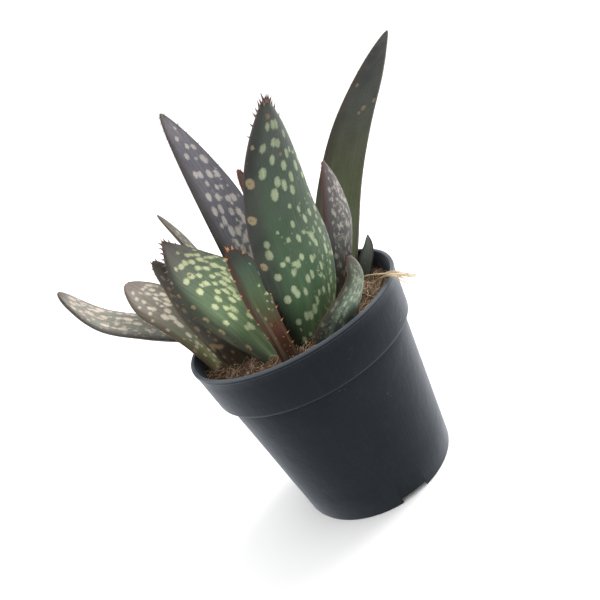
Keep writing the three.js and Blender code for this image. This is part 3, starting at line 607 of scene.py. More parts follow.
def waxy_cuticle(name, roughness, bloom):
    """Living aloe skin: a satin waxy cuticle grown over green, olive or purple-grey flesh.

    It gives soft broad highlights, fine lengthwise fibres, and pale raised spots with soft edges.
    """
    material, tree = new_material(name)
    skin = add(tree, "UVMap", uv_map="skin")
    place = add(tree, "TexCoord", out="Object")
    # The ground and mark attributes hold the leaf's own colours with painted light and shade laid in.
    ground, mark, edging = (
        add(tree, "Attribute", attribute_name=key, out="Color") for key in ("ground", "mark", "edging")
    )
    spot, pad, scar, margin, stripe = (
        add(tree, "Attribute", attribute_name=key, out="Fac") for key in ("spot", "pad", "scar", "margin", "stripe")
    )

    # The skin map is in millimetres: fibres 0.7 mm wide and twenty times as long, and 2 mm bands.
    fibre = add(tree, "TexNoise", add(tree, "Mapping", skin, Scale=(1.4, 0.07, 1)), 1.0, 3.0, 0.6)
    band = add(tree, "TexNoise", add(tree, "Mapping", skin, Scale=(0.45, 0.02, 1)), 1.0, 2.0, 0.5)
    mottle = add(tree, "TexNoise", place, 140.0, 4.0, 0.6)
    cloud = add(tree, "TexNoise", place, 38.0, 3.0, 0.5)

    # Ground: fibres, pale bands near the foot, 7 mm mottling that leans to purple, and wide clouds.
    banded = add(tree, "MapRange", band, 0.48, 0.66, **FADE)
    coats = [
        (add(tree, "MapRange", fibre, 0.3, 0.7, 0.0, 0.3, **FADE), (0.02, 0.025, 0.018)),
        (add(tree, "Math", banded, add(tree, "Math", stripe, 0.55, operation="MULTIPLY"), operation="MULTIPLY"), mark),
        (add(tree, "MapRange", mottle, 0.42, 0.7, 0.0, 0.12, **FADE), (0.085, 0.07, 0.08)),
        (add(tree, "MapRange", cloud, 0.35, 0.7, 0.0, 0.06, **FADE), (0.3, 0.33, 0.26)),
    ]

    # Spots and pads: the attribute is the distance to the nearest edge, worn ragged by up to 0.75 mm.
    fray = add(tree, "Math", add(tree, "TexNoise", skin, 1.3, 3.0, 0.65), 1.5, -0.75, operation="MULTIPLY_ADD")
    ragged = add(tree, "Math", spot, fray, operation="ADD")
    inside = add(tree, "MapRange", ragged, 0.34, -0.42, **FADE)
    heart = add(tree, "MapRange", add(tree, "Math", ragged, fray, operation="ADD"), -1.5, 0.0, 1.0, 0.78, **FADE)
    veil = add(tree, "MapRange", fibre, 0.35, 0.7, 0.0, 0.28, **FADE)
    pale = add(tree, "Mix", veil, mark, ground, data_type="RGBA")
    worn_pad = add(tree, "Math", pad, fray, operation="ADD")
    coats += [
        (add(tree, "Math", inside, heart, operation="MULTIPLY"), pale),
        (add(tree, "MapRange", worn_pad, 0.25, -0.5, 0.0, 0.7, **FADE), linear("#978867")),
    ]

    # Scars: a corky ring about 0.4 mm wide with a dull middle.
    from_rim = add(tree, "Math", add(tree, "Math", fray, 0.5, scar, operation="MULTIPLY_ADD"), operation="ABSOLUTE")
    ring = add(tree, "MapRange", from_rim, 0.3, 0.08, 0.0, 0.75, **FADE)
    coats += [
        (ring, linear("#6e4a38")),
        (add(tree, "MapRange", scar, 0.0, -0.3, 0.0, 0.3, **FADE), linear("#8f8a6f")),
    ]

    # The horny margin, up to 0.75 mm wide.
    worn_margin = add(tree, "Math", margin, fray, operation="ADD")
    coats.append((add(tree, "MapRange", worn_margin, 0.75, 0.1, 0.0, 0.8, **FADE), edging))

    gloss = add(tree, "TexNoise", place, 260.0, 3.0, 0.55)
    gloss = add(tree, "Math", gloss, 0.22, roughness - 0.11, operation="MULTIPLY_ADD")
    cells = add(tree, "TexVoronoi", skin, Scale=1.6, Smoothness=0.7, feature="SMOOTH_F1")
    return finish_material(
        material, ground, coats,
        ((fibre, 0.00022), (cells, 0.00008), (cloud, 0.0008), (inside, 0.00009), (ring, 0.0001)),
        Roughness=add(tree, "Math", inside, 0.06, gloss, operation="MULTIPLY_ADD"),
        IOR=1.44, Specular_IOR_Level=0.32,
        Subsurface_Weight=0.08, Subsurface_Radius=(0.6, 0.9, 0.3), Subsurface_Scale=0.0015,
        Sheen_Weight=bloom, Sheen_Roughness=0.5,
    )


def tooth_horn():
    """Horn of the marginal teeth: grown hard, smooth and a little shiny, pale at its root and dark at its point."""
    material, tree = new_material("tooth_horn")
    place = add(tree, "TexCoord", out="Object")
    low, tip = (add(tree, "Attribute", attribute_name=key, out="Color") for key in ("horn_low", "horn_tip"))
    height = add(tree, "Attribute", attribute_name="height", out="Fac")
    uneven = add(tree, "TexNoise", place, 900.0, 3.0, 0.55)
    uneven = add(tree, "Math", uneven, 0.4, -0.2, operation="MULTIPLY_ADD")
    worn = add(tree, "Math", height, uneven, operation="ADD")
    return finish_material(
        material, low, ((add(tree, "MapRange", worn, 0.3, 0.85, **FADE), tip),),
        ((add(tree, "TexNoise", place, 1500.0, 3.0, 0.55), 0.00005),),
        Roughness=0.38, IOR=1.54,
        Subsurface_Weight=0.1, Subsurface_Radius=(1.0, 0.4, 0.2), Subsurface_Scale=0.0008,
    )


def moulded_polypropylene(settings):
    """Injection-moulded recycled polypropylene: charcoal with a blue cast and a satin skin.

    Faint vertical drag marks, pale scuffs, dried water marks and dust specks, and a pale lip that is partly rubbed
    wear and partly a painted highlight.
    """
    material, tree = new_material("moulded_polypropylene")
    place = add(tree, "TexCoord", out="Object")
    centred = add(tree, "Mapping", place, Location=tuple(-AXIS))
    across, away, up = add(tree, "SeparateXYZ", centred).node.outputs
    turn = add(tree, "Math", away, across, operation="ARCTAN2")
    wall = add(tree, "CombineXYZ", add(tree, "Math", turn, POT_WALL, operation="MULTIPLY"), up, 0.0)
    # Drag marks are 1 mm wide and 33 mm long.
    drag = add(tree, "TexNoise", add(tree, "Mapping", place, Scale=(900, 900, 30)), 1.0, 3.0, 0.55)
    cloud = add(tree, "TexNoise", place, 30.0, 4.0, 0.6)

    # Dust: specks of about 0.5 mm in cells of 4 mm, in a few of them only.
    specks = add(tree, "TexVoronoi", place, Scale=260.0, Randomness=1.0)
    rare = add(tree, "MapRange", specks.node.outputs["Color"], 0.93, 0.97, **FADE)
    dot = add(tree, "Math", add(tree, "MapRange", specks, 0.16, 0.07, **FADE), rare, operation="MULTIPLY")

    # Scuffs: short pale scratches where noise crosses its middle, only inside some patches.
    swirl = add(tree, "Mapping", place, Rotation=(0.4, 0.9, 0.3), Scale=(260, 900, 300))
    scratch = add(tree, "Math", add(tree, "TexNoise", swirl, 1.0, 1.0, 0.4), 0.5, operation="SUBTRACT")
    scratch = add(tree, "Math", scratch, operation="ABSOLUTE")
    patch = add(tree, "MapRange", add(tree, "TexNoise", place, 55.0, 2.0, 0.55), 0.58, 0.7, **FADE)
    scuff = add(tree, "Math", add(tree, "MapRange", scratch, 0.012, 0.002, **FADE), patch, operation="MULTIPLY")

    # Water marks: thin rings of about 4 mm left on the wall.
    drops = add(tree, "TexVoronoi", place, Scale=120.0, feature="F1")
    few = add(tree, "MapRange", drops.node.outputs["Color"], 0.8, 0.84, **FADE)
    from_ring = add(tree, "Math", add(tree, "Math", drops, 0.26, operation="SUBTRACT"), operation="ABSOLUTE")
    halo = add(tree, "MapRange", from_ring, 0.05, 0.01, **FADE)
    stain = add(tree, "Math", add(tree, "Math", halo, few, operation="MULTIPLY"), patch, operation="MULTIPLY")

    # The lip is paler along the top 1 mm, more where the clouds are light: partly rubbed wear, partly a painted
    # highlight.
    top = add(tree, "MapRange", up, 0.0937, 0.0947, **FADE)
    lip_wear_and_highlight = add(tree, "Math", top, add(tree, "MapRange", cloud, 0.2, 0.6, 0.5, 1.0, **FADE), operation="MULTIPLY")

    matt = add(tree, "TexNoise", wall, 160.0, 4.0, 0.6)
    matt = add(tree, "Math", matt, 0.2, settings.roughness - 0.1, operation="MULTIPLY_ADD")
    matt = add(tree, "Math", dot, 0.3, matt, operation="MULTIPLY_ADD")
    return finish_material(
        material, tuple(settings.wall),
        (
            (add(tree, "MapRange", cloud, 0.3, 0.75, 0.0, 0.7, **FADE), tuple(settings.wall_light)),
            (add(tree, "MapRange", drag, 0.5, 0.8, 0.0, 0.2, **FADE), (0.022, 0.026, 0.032)),
            (add(tree, "Math", dot, settings.dust, operation="MULTIPLY"), (0.3, 0.3, 0.29)),
            (add(tree, "Math", scuff, 0.16, operation="MULTIPLY"), (0.16, 0.17, 0.18)),
            (add(tree, "Math", stain, 0.25, operation="MULTIPLY"), (0.2, 0.21, 0.22)),
            # The pale lip: rubbed wear and a painted highlight.
            (add(tree, "Math", lip_wear_and_highlight, 0.55, operation="MULTIPLY"), (0.13, 0.15, 0.17)),
        ),
        ((drag, 0.00003), (add(tree, "TexNoise", place, 1400.0, 2.0, 0.55), 0.00004), (cloud, 0.0006)),
        Roughness=add(tree, "Math", scuff, 0.2, matt, operation="MULTIPLY_ADD"),
        IOR=1.49, Specular_IOR_Level=0.06,
        Sheen_Weight=0.3, Sheen_Roughness=0.4, Sheen_Tint=(0.8, 0.88, 1.0, 1.0),
    )


def coir_compost(name, light, dark, scale):
    """Coir and peat, shredded and dried: matt and ragged, in browns from tan fibre to nearly black crumb."""
    material, tree = new_material(name)
    place = add(tree, "TexCoord", out="Object")
    tint = add(tree, "Attribute", attribute_name="tint", out="Fac")
    coarse = add(tree, "TexNoise", place, scale, 5.0, 0.7)
    fine = add(tree, "TexNoise", place, scale * 5, 3.0, 0.6)
    shade = add(tree, "Math", coarse, 0.6, operation="MULTIPLY")
    shade = add(tree, "Math", tint, 0.55, shade, operation="MULTIPLY_ADD")
    return finish_material(
        material, dark,
        (
            (add(tree, "MapRange", shade, 0.3, 0.85, **FADE), light),
            (add(tree, "MapRange", fine, 0.5, 0.8, 0.0, 0.5, **FADE), linear("#b59c82")),
        ),
        ((fine, 0.0004), (coarse, 0.0012)),
        Roughness=0.92, Specular_IOR_Level=0.2,
    )


def dry_straw(settings):
    """Dried straw: golden, split lengthwise, half matt, paler where it frays."""
    material, tree = new_material("dry_straw")
    tint, height = (add(tree, "Attribute", attribute_name=key, out="Fac") for key in ("tint", "height"))
    streak = add(tree, "TexNoise", add(tree, "TexCoord", out="Object"), 700.0, 3.0, 0.6)
    shade = add(tree, "Math", streak, 0.6, operation="MULTIPLY")
    shade = add(tree, "Math", tint, 0.4, shade, operation="MULTIPLY_ADD")
    return finish_material(
        material, tuple(settings.dark),
        (
            (add(tree, "MapRange", shade, 0.25, 0.75, **FADE), tuple(settings.light)),
            (add(tree, "MapRange", height, 0.6, 1.0, 0.0, 0.5, **FADE), linear("#e2d3b4")),
        ),
        ((streak, 0.00015),),
        Roughness=0.6, Specular_IOR_Level=0.35,
    )


# ---------------------------------------------------------------- leaf geometry


def through(values, t):
    """A smooth curve through evenly spaced values."""
    n = len(values) - 1
    x = np.clip(t, 0, 1) * n
    i = np.minimum(x.astype(int), n - 1)
    f = x - i
    v = np.array([2 * values[0] - values[1], *values, 2 * values[-1] - values[-2]], float)
    a, b, c, d = v[i], v[i + 1], v[i + 2], v[i + 3]
    return b + 0.5 * f * (c - a + f * (2 * a - 5 * b + 4 * c - d + f * (3 * (b - c) + d - a)))


def stations(leaf, t):
    """The blade's centres, directions and sizes at each t, in millimetres."""

    def frames(t):
        """The direction of growth and the way the upper face looks."""
        lean = np.radians(leaf["lean"] + leaf["curl"] * t**1.5)
        head = np.radians(leaf["heading"] + leaf["swerve"] * t)
        along = np.stack([np.sin(lean) * np.cos(head), np.sin(lean) * np.sin(head), np.cos(lean)], -1)
        face = np.stack([-np.cos(lean) * np.cos(head), -np.cos(lean) * np.sin(head), np.sin(lean)], -1)
        return along, face

    steps = np.linspace(0, 1, 61)
    run, _ = frames(steps)
    line = np.zeros((61, 3))
    line[0] = (*leaf["at"], LEAF_FOOT)
    line[1:] = line[0] + np.cumsum((run[:-1] + run[1:]) * leaf["length"] / 120, axis=0)
    along, face = frames(t)
    side = np.cross(along, face)
    roll = np.radians(leaf["roll"] + leaf["twist"] * t)[:, None]
    across = side * np.cos(roll) + face * np.sin(roll)
    upper = face * np.cos(roll) - side * np.sin(roll)
    centre = np.stack([np.interp(t, steps, line[:, k]) for k in range(3)], -1)
    centre = centre + across * through(leaf["bow"], t)[:, None]
    half = np.maximum(through(leaf["width"], t) / 2 * np.sqrt(np.clip(1 - t**14, 0, 1)), 0.4)
    thin = np.minimum(1, 2.6 * half / (max(leaf["width"]) / 2)) ** 0.7
    thick = np.maximum(leaf["thick"] * (1 - 0.5 * t) * thin, 0.8)
    fold = leaf["fold"] * (1 - 0.6 * t)
    return dict(centre=centre, along=along, across=across, upper=upper, half=half, thick=thick, fold=fold)


def blade_point(leaf, at, i, u, face):
    """The point at u across station i on one face (1 upper, -1 lower)."""
    share = leaf["up"] if face > 0 else leaf["up"] - 1
    lift = at["fold"][i] * at["half"][i] * u * u + share * at["thick"][i] * math.sqrt(max(0.0, 1 - u * u))
    return at["centre"][i] + at["across"][i] * at["half"][i] * u + at["upper"][i] * lift


def ramp(stops, t):
    """Linear colours at each t from (place, hex) stops."""
    places = [s[0] for s in stops]
    colours = np.array([linear(s[1]) for s in stops])
    return np.stack([np.interp(t, places, colours[:, k]) for k in range(3)], -1)


def smooth(x):
    """0 below 0, 1 above 1, and an even rise between."""
    x = np.clip(x, 0, 1)
    return x * x * (3 - 2 * x)


def lay_spots(rng, face, across_at, slope_at, length):
    """The face's spots as (s, l, half-width, half-length, slope) in millimetres.

    Single ones come first and then the seeded drifts, whose spots keep clear of those already laid.
    """
    spots = []
    for u, t, a, b in face.get("spots", ()):
        spots.append((across_at(u, t), t * length, b, a, slope_at(u, t)))
    for u0, u1, t0, t1, count, shortest, longest, ratio, gap in face.get("drifts", ()):
        for _ in range(count):
            for _ in range(40):
                u, t = rng.uniform(u0, u1), rng.uniform(t0, t1)
                a = shortest + (longest - shortest) * rng.random() ** 1.5
                b = a * ratio * rng.uniform(0.8, 1.25)
                s, l = across_at(u, t), t * length
                apart = [((s - q[0]) / (b + q[2])) ** 2 + ((l - q[1]) / (a + q[3])) ** 2 for q in spots]
                if all(distance > gap * gap for distance in apart):
                    spots.append((s, l, b, a, slope_at(u, t) + rng.uniform(-0.08, 0.08)))
                    break
    return spots


def spot_distance(spots, s, l):
    """Distance in millimetres from each place to the nearest spot's edge, negative inside."""
    nearest = np.full(s.shape, FIELD_REACH)
    for s0, l0, b, a, slope in spots:
        dl = (l - l0).ravel()
        ds = (s - s0).ravel() - slope * dl
        near = (np.abs(ds) < b + FIELD_REACH) & (np.abs(dl) < a + FIELD_REACH)
        x, y = ds[near], dl[near]
        k0 = np.sqrt((x / b) ** 2 + (y / a) ** 2)
        k1 = np.sqrt((x / b**2) ** 2 + (y / a**2) ** 2) + 1e-9
        flat = nearest.ravel()
        flat[near] = np.minimum(flat[near], np.where(k0 < 1e-6, -min(a, b), k0 * (k0 - 1) / k1))
        nearest = flat.reshape(s.shape)
    return nearest


def make_leaf(name, leaf, skin, material, step):
    """One leaf's skin: a fine loft of its upper and lower faces with its markings as attributes."""
    rng = random.Random(name)
    rows = int(leaf["length"] / step) + 1
    columns = max(15, int(max(leaf["width"]) * 1.12 / step) | 1)
    t = 1 - (1 - np.linspace(0, 1, rows)) ** 1.15
    at = stations(leaf, t)
    u = np.cos(np.pi * np.arange(columns) / (columns - 1))

    # A low swell keeps the faces from looking turned; it only sinks in, and dies out at the margins.
    phase = [rng.uniform(0, 6.3) for _ in range(4)]
    faces = {}
    for face, share in ((1, leaf["up"]), (-1, leaf["up"] - 1)):
        arch = np.sqrt(np.clip(1 - u * u, 0, 1))[None]
        l = t[:, None] * leaf["length"]
        swell = np.sin(l * 0.21 + phase[0] + 2.1 * u[None]) + np.sin(l * 0.093 + phase[1] - 3.0 * u[None])
        swell = (swell + 0.7 * np.sin(5.2 * u[None] + phase[2] + l * 0.03)) / 2.7
        sink = 0.22 * (swell + 1) * arch * np.minimum(1, at["thick"] / 4)[:, None]
        lift = at["fold"][:, None] * at["half"][:, None] * (u * u)[None]
        lift = lift + share * at["thick"][:, None] * arch - face * sink
        points = at["centre"][:, None] + at["across"][:, None] * (at["half"][:, None] * u[None])[..., None]
        points = points + at["upper"][:, None] * lift[..., None]
        gaps = np.linalg.norm(np.diff(points, axis=1), axis=-1)
        run = np.concatenate([np.zeros((rows, 1)), np.cumsum(gaps, axis=1)], axis=1)
        s = -(run - run[:, columns // 2][:, None])

        def across_at(uu, tt, s=s):
            """Millimetres from the middle to u, along the face."""
            i = int(np.argmin(np.abs(t - tt)))
            return float(np.interp(uu, u[::-1], s[i][::-1]))

        def slope_at(uu, tt, across_at=across_at):
            """How fast that grows towards the tip, so that a spot follows the blade."""
            d = 0.02
            return (across_at(uu, min(1, tt + d)) - across_at(uu, max(0, tt - d))) / (2 * d * leaf["length"])

        part = skin["upper" if face > 0 else "lower"]
        ll = np.broadcast_to(l, s.shape)
        uu = np.broadcast_to(u[None], s.shape)
        tt = np.broadcast_to(t[:, None], s.shape)
        # The ground ramp is partly the leaf's own colour and partly painted light and shade.
        ground = ramp(part["ground"], tt)
        # Each flank darkens or lightens one side: partly the leaf's own tint, partly painted shade or light.
        for side, start, full, tint in part.get("flank_tints_and_shade", ()):
            k = smooth((uu * side - start) / (full - start))[..., None]
            ground = ground * (1 - 0.85 * k) + np.array(linear(tint)) * 0.85 * k
        pads = [(across_at(a, b), b * leaf["length"], w, h, 0.0) for a, b, h, w in part.get("pads", ())]
        rings = np.full(s.shape, FIELD_REACH)
        for a, b, r in part.get("scars", ()):
            rings = np.minimum(rings, np.hypot(s - across_at(a, b), ll - b * leaf["length"]) - r)
        edge = np.minimum(run, run[:, -1][:, None] - run)
        spots = lay_spots(rng, part, across_at, slope_at, leaf["length"])
        faces[face] = dict(
            points=points, s=s, l=ll, ground=ground, edge=edge,
            spot=spot_distance(spots, s, ll), pad=spot_distance(pads, s, ll), scar=rings,
        )

    # One ring runs along the upper face from u = 1 to -1 and back along the lower one.
    def ringed(key):
        """Both faces' values, one row to a ring."""
        return np.concatenate([faces[1][key], faces[-1][key][:, -2:0:-1]], axis=1)

    points = ringed("points")
    around = points.shape[1]
    foot, tip = at["centre"][0], at["centre"][-1]
    vertices = np.concatenate([points.reshape(-1, 3), foot[None], tip[None]]) * MM
    index = np.arange(rows * around).reshape(rows, around)
    a, b = index[:-1], index[1:]
    quads = np.stack([a, np.roll(a, -1, 1), np.roll(b, -1, 1), b], -1).reshape(-1, 4)
    polygons = [tuple(q) for q in quads.tolist()]
    last, low, high = index[-1], rows * around, rows * around + 1
    for j in range(around):
        k = (j + 1) % around
        polygons.append((int(index[0][k]), int(index[0][j]), low))
        polygons.append((int(last[j]), int(last[k]), high))
    piece = new_piece("skin_" + name, vertices.tolist(), (), polygons, "leaf_" + name)
    mesh = piece.data

    def keep(key, values, at_foot, at_tip):
        """Stores the ring's values, with one more for each end's middle point."""
        store(mesh, key, np.concatenate([values, [at_foot, at_tip]]))

    ground = ringed("ground").reshape(-1, 3)
    keep("ground", ground, ground[0], ground[-1])
    # Spots follow the ground's painted light and shade, darker where the ground is darker, and are duller near the
    # margins and the tip.
    mark = np.array(linear(skin["spot"]))
    tt = np.broadcast_to(t[:, None], (rows, around)).reshape(-1, 1)
    mark_with_shade = mark * (0.8 + 0.2 * smooth((1.0 - tt) / 0.35))
    mark_with_shade = mark_with_shade * (0.72 + 0.28 * smooth(ringed("edge").reshape(-1, 1) / 3.5))
    ground_shade_level = ground.mean(1, keepdims=True)
    mark_with_shade = mark_with_shade * (ground_shade_level / ground_shade_level.mean()) ** 0.55 * 0.9 + ground * 0.1
    keep("mark", mark_with_shade, mark_with_shade[0], mark_with_shade[-1])
    edging = np.array(linear(skin["edge"]))
    keep("edging", np.broadcast_to(edging, ground.shape), edging, edging)
    for key in ("spot", "pad", "scar"):
        keep(key, ringed(key).ravel(), FIELD_REACH, FIELD_REACH)
    keep("margin", ringed("edge").ravel(), 0.0, 0.0)
    stripe = skin["stripe"] * smooth((0.75 - tt.ravel()) / 0.6)
    keep("stripe", stripe, skin["stripe"], 0.0)

    # The skin map holds millimetres across and along, with the lower face set well aside.
    su, lu = ringed("s"), ringed("l")
    shift = np.zeros(around)
    shift[columns:] = LOWER_SHIFT
    corner = np.empty(len(mesh.loops), int)
    mesh.loops.foreach_get("vertex_index", corner)
    su = np.concatenate([(su + shift).ravel(), [0.0, 0.0]])
    lu = np.concatenate([lu.ravel(), [0.0, leaf["length"]]])
    across_uv, along_uv = su[corner].copy(), lu[corner]
    # A face on the margin that joins both sides takes the lower side's numbers whole.
    starts = np.empty(len(mesh.polygons), int)
    totals = np.empty(len(mesh.polygons), int)
    mesh.polygons.foreach_get("loop_start", starts)
    mesh.polygons.foreach_get("loop_total", totals)
    owner = np.repeat(np.arange(len(starts)), totals)
    lowered = np.zeros(len(starts), bool)
    np.logical_or.at(lowered, owner, across_uv > HALFWAY)
    lift = lowered[owner] & (across_uv < HALFWAY) & (corner < low)
    across_uv[lift] += LOWER_SHIFT
    layer = mesh.uv_layers.new(name="skin")
    layer.data.foreach_set("uv", np.stack([across_uv, along_uv], -1).ravel())

    mesh.materials.append(material)
    mesh.shade_smooth()
    mesh.validate()
    mesh.update()
    return piece


def tooth_roots(name, leaf, teeth):
    """Loose points where the teeth stand, each with its direction, its lean and its length in metres."""
    rng = random.Random("teeth " + name)
    seen = teeth.get("seen", ())
    places = list(seen)
    for edge, (spacing, size, start) in teeth["rule"].items():
        t = start + rng.random() * spacing / leaf["length"]
        while t < 0.975:
            clear = [abs(u - edge) > 0.4 or abs(t - q) * leaf["length"] > spacing * 0.45 for u, q, _, _ in seen]
            if all(clear):
                places.append((edge, t, size * (0.55 + 0.6 * t**3) * (0.8 + 0.4 * rng.random()), 1))
            t += spacing * (1.25 - 0.8 * t * t) * (0.8 + 0.4 * rng.random()) / leaf["length"]
    at = stations(leaf, np.array([p[1] for p in places]))
    rows = []
    for i, (u, t, size, face) in enumerate(places):
        point = blade_point(leaf, at, i, u, face)
        arch = math.sqrt(max(0.0, 1 - u * u))
        out = at["across"][i] * u + at["upper"][i] * face * arch * 1.5
        out = out * (1 - 0.6 * t**8) + at["along"][i] * (0.3 + 0.75 * t**10)
        out = out / np.linalg.norm(out)
        out = out + np.array([rng.uniform(-0.14, 0.14) for _ in range(3)])
        rows.append((point * MM, out / np.linalg.norm(out), at["along"][i], size * MM))
    points, outs, onwards, reaches = zip(*rows)
    piece = new_piece("teeth_" + name, [point.tolist() for point in points], mesh_name="roots_" + name)
    store(piece.data, "out", outs)
    store(piece.data, "onward", onwards)
    store(piece.data, "reach", reaches)
    for key, code in zip(("horn_low", "horn_tip"), teeth["horn"]):
        store(piece.data, key, [linear(code)] * len(rows))
    return piece


# ---------------------------------------------------------------- geometry node trees


def new_tree(name, **inputs):
    """A geometry node tree with these inputs, whole or decimal as their defaults are, and its two ends."""
    tree = bpy.data.node_groups.new(name, "GeometryNodeTree")
    for side in ("INPUT", "OUTPUT"):
        tree.interface.new_socket("Geometry", in_out=side, socket_type="NodeSocketGeometry")
    for label, default in inputs.items():
        kind = "NodeSocketInt" if isinstance(default, int) else "NodeSocketFloat"
        socket = tree.interface.new_socket(label.replace("_", " "), in_out="INPUT", socket_type=kind)
        socket.default_value = default
    return tree, tree.nodes.new("NodeGroupInput").outputs, tree.nodes.new("NodeGroupOutput").inputs[0]


def finish_tree(tree, output, instances, material):
    """Realizes the instances and gives them their material at the end of the tree."""
    real = add(tree, "RealizeInstances", Geometry=instances)
    tree.links.new(add(tree, "SetMaterial", Geometry=real, Material=material), output)
    return tree


def teeth_tree(material):
    """Curved horn teeth on loose root points: flattened, and hooked towards the leaf's tip."""
    tree, get, output = new_tree("marginal_teeth", Base_width=0.5, Flatness=0.62, Hook=0.3, Sunk=0.22)
    cone = add(
        tree, "MeshCone", Vertices=8, Side_Segments=5, Radius_Top=0.035, Radius_Bottom=0.5, Depth=1.0,
        fill_type="NGON",
    )
    across, deep, up = add(tree, "SeparateXYZ", add(tree, "InputPosition")).node.outputs
    cone = add(tree, "StoreNamedAttribute", Geometry=cone, Name="height", Value=up, data_type="FLOAT")
    # The sides draw in quickly above the root, as a thorn's do, and the point leans onward.
    pinch = add(tree, "Math", add(tree, "Math", 1.0, up, operation="SUBTRACT"), 0.7, operation="POWER")
    slim_across = add(tree, "Math", across, pinch, operation="MULTIPLY")
    slim_deep = add(tree, "Math", deep, pinch, operation="MULTIPLY")
    cone = add(tree, "SetPosition", Geometry=cone, Position=add(tree, "CombineXYZ", slim_across, slim_deep, up))
    bend = add(tree, "Math", add(tree, "Math", up, up, operation="MULTIPLY"), get["Hook"], operation="MULTIPLY")
    drop = add(tree, "Math", get["Sunk"], -1.0, operation="MULTIPLY")
    cone = add(tree, "SetPosition", Geometry=cone, Offset=add(tree, "CombineXYZ", X=bend, Z=drop))
    cone = add(tree, "SetShadeSmooth", Geometry=cone, Shade_Smooth=True)
    out, onward = (
        add(tree, "InputNamedAttribute", Name=key, data_type="FLOAT_VECTOR") for key in ("out", "onward")
    )
    stand = add(tree, "AlignRotationToVector", Vector=out, axis="Z")
    turn = add(tree, "AlignRotationToVector", Rotation=stand, Vector=onward, axis="X", pivot_axis="Z")
    reach = add(tree, "InputNamedAttribute", Name="reach", data_type="FLOAT")
    wide = add(tree, "Math", reach, get["Base width"], operation="MULTIPLY")
    thin = add(tree, "Math", wide, get["Flatness"], operation="MULTIPLY")
    size = add(tree, "CombineXYZ", wide, thin, reach)
    roots = add(tree, "MeshToPoints", Mesh=get["Geometry"])
    placed = add(tree, "InstanceOnPoints", Points=roots, Instance=cone, Rotation=turn, Scale=size)
    return finish_tree(tree, output, placed, material)


def foot_cut_tree(material):
    """Cuts the foot's arches and the drain holes out of the turned pot."""
    tree, get, output = new_tree(
        "foot_arches_and_drains",
        Arches=3, Arch_width=14 * MM, Arch_height=2.7 * MM, Foot_radius=38.6 * MM, Turn=math.radians(-78),
        Drains=6, Drain_radius=4 * MM, Drain_ring=26 * MM,
    )
    depth = 12 * MM
    tall = add(tree, "Math", get["Arch height"], 2.0, operation="MULTIPLY")
    block = add(tree, "MeshCube", Size=add(tree, "CombineXYZ", depth, get["Arch width"], tall))
    drill = add(tree, "MeshCylinder", Vertices=40, Radius=get["Drain radius"], Depth=depth)

    def ring(count, radius, turn, item):
        """Copies of the item round the axis, each turned to face out."""
        circle = add(tree, "MeshCircle", Vertices=count, Radius=radius)
        angle = add(tree, "Math", add(tree, "InputIndex"), 2 * math.pi, operation="MULTIPLY")
        angle = add(tree, "Math", angle, count, operation="DIVIDE")
        spin = add(tree, "CombineXYZ", Z=angle)
        placed = add(tree, "InstanceOnPoints", Points=circle, Instance=item, Rotation=spin)
        return add(tree, "Transform", Geometry=placed, Rotation=add(tree, "CombineXYZ", Z=turn))

    arches = ring(get["Arches"], get["Foot radius"], get["Turn"], block)
    between = add(tree, "Math", get["Turn"], math.radians(30), operation="ADD")
    drains = ring(get["Drains"], get["Drain ring"], between, drill)
    cutters = add(tree, "RealizeInstances", add(tree, "JoinGeometry", [arches, drains, drill]))
    cut = add(tree, "MeshBoolean", Mesh_1=get["Geometry"], Mesh_2=cutters, operation="DIFFERENCE", solver="EXACT")
    return finish_tree(tree, output, cut, material)


def tubes(tree, curve, sides, **caps):
    """Tubes along the curve, as thick as its points' radius says."""
    profile = add(tree, "CurvePrimitiveCircle", Resolution=sides, Radius=1.0, mode="RADIUS")
    return add(tree, "CurveToMesh", Curve=curve, Profile_Curve=profile, Scale=add(tree, "InputRadius"), **caps)


def scatter(tree, get):
    """Seeded points on the geometry."""
    return add(tree, "DistributePointsOnFaces", Mesh=get["Geometry"], Density=get["Density"], Seed=get["Seed"])


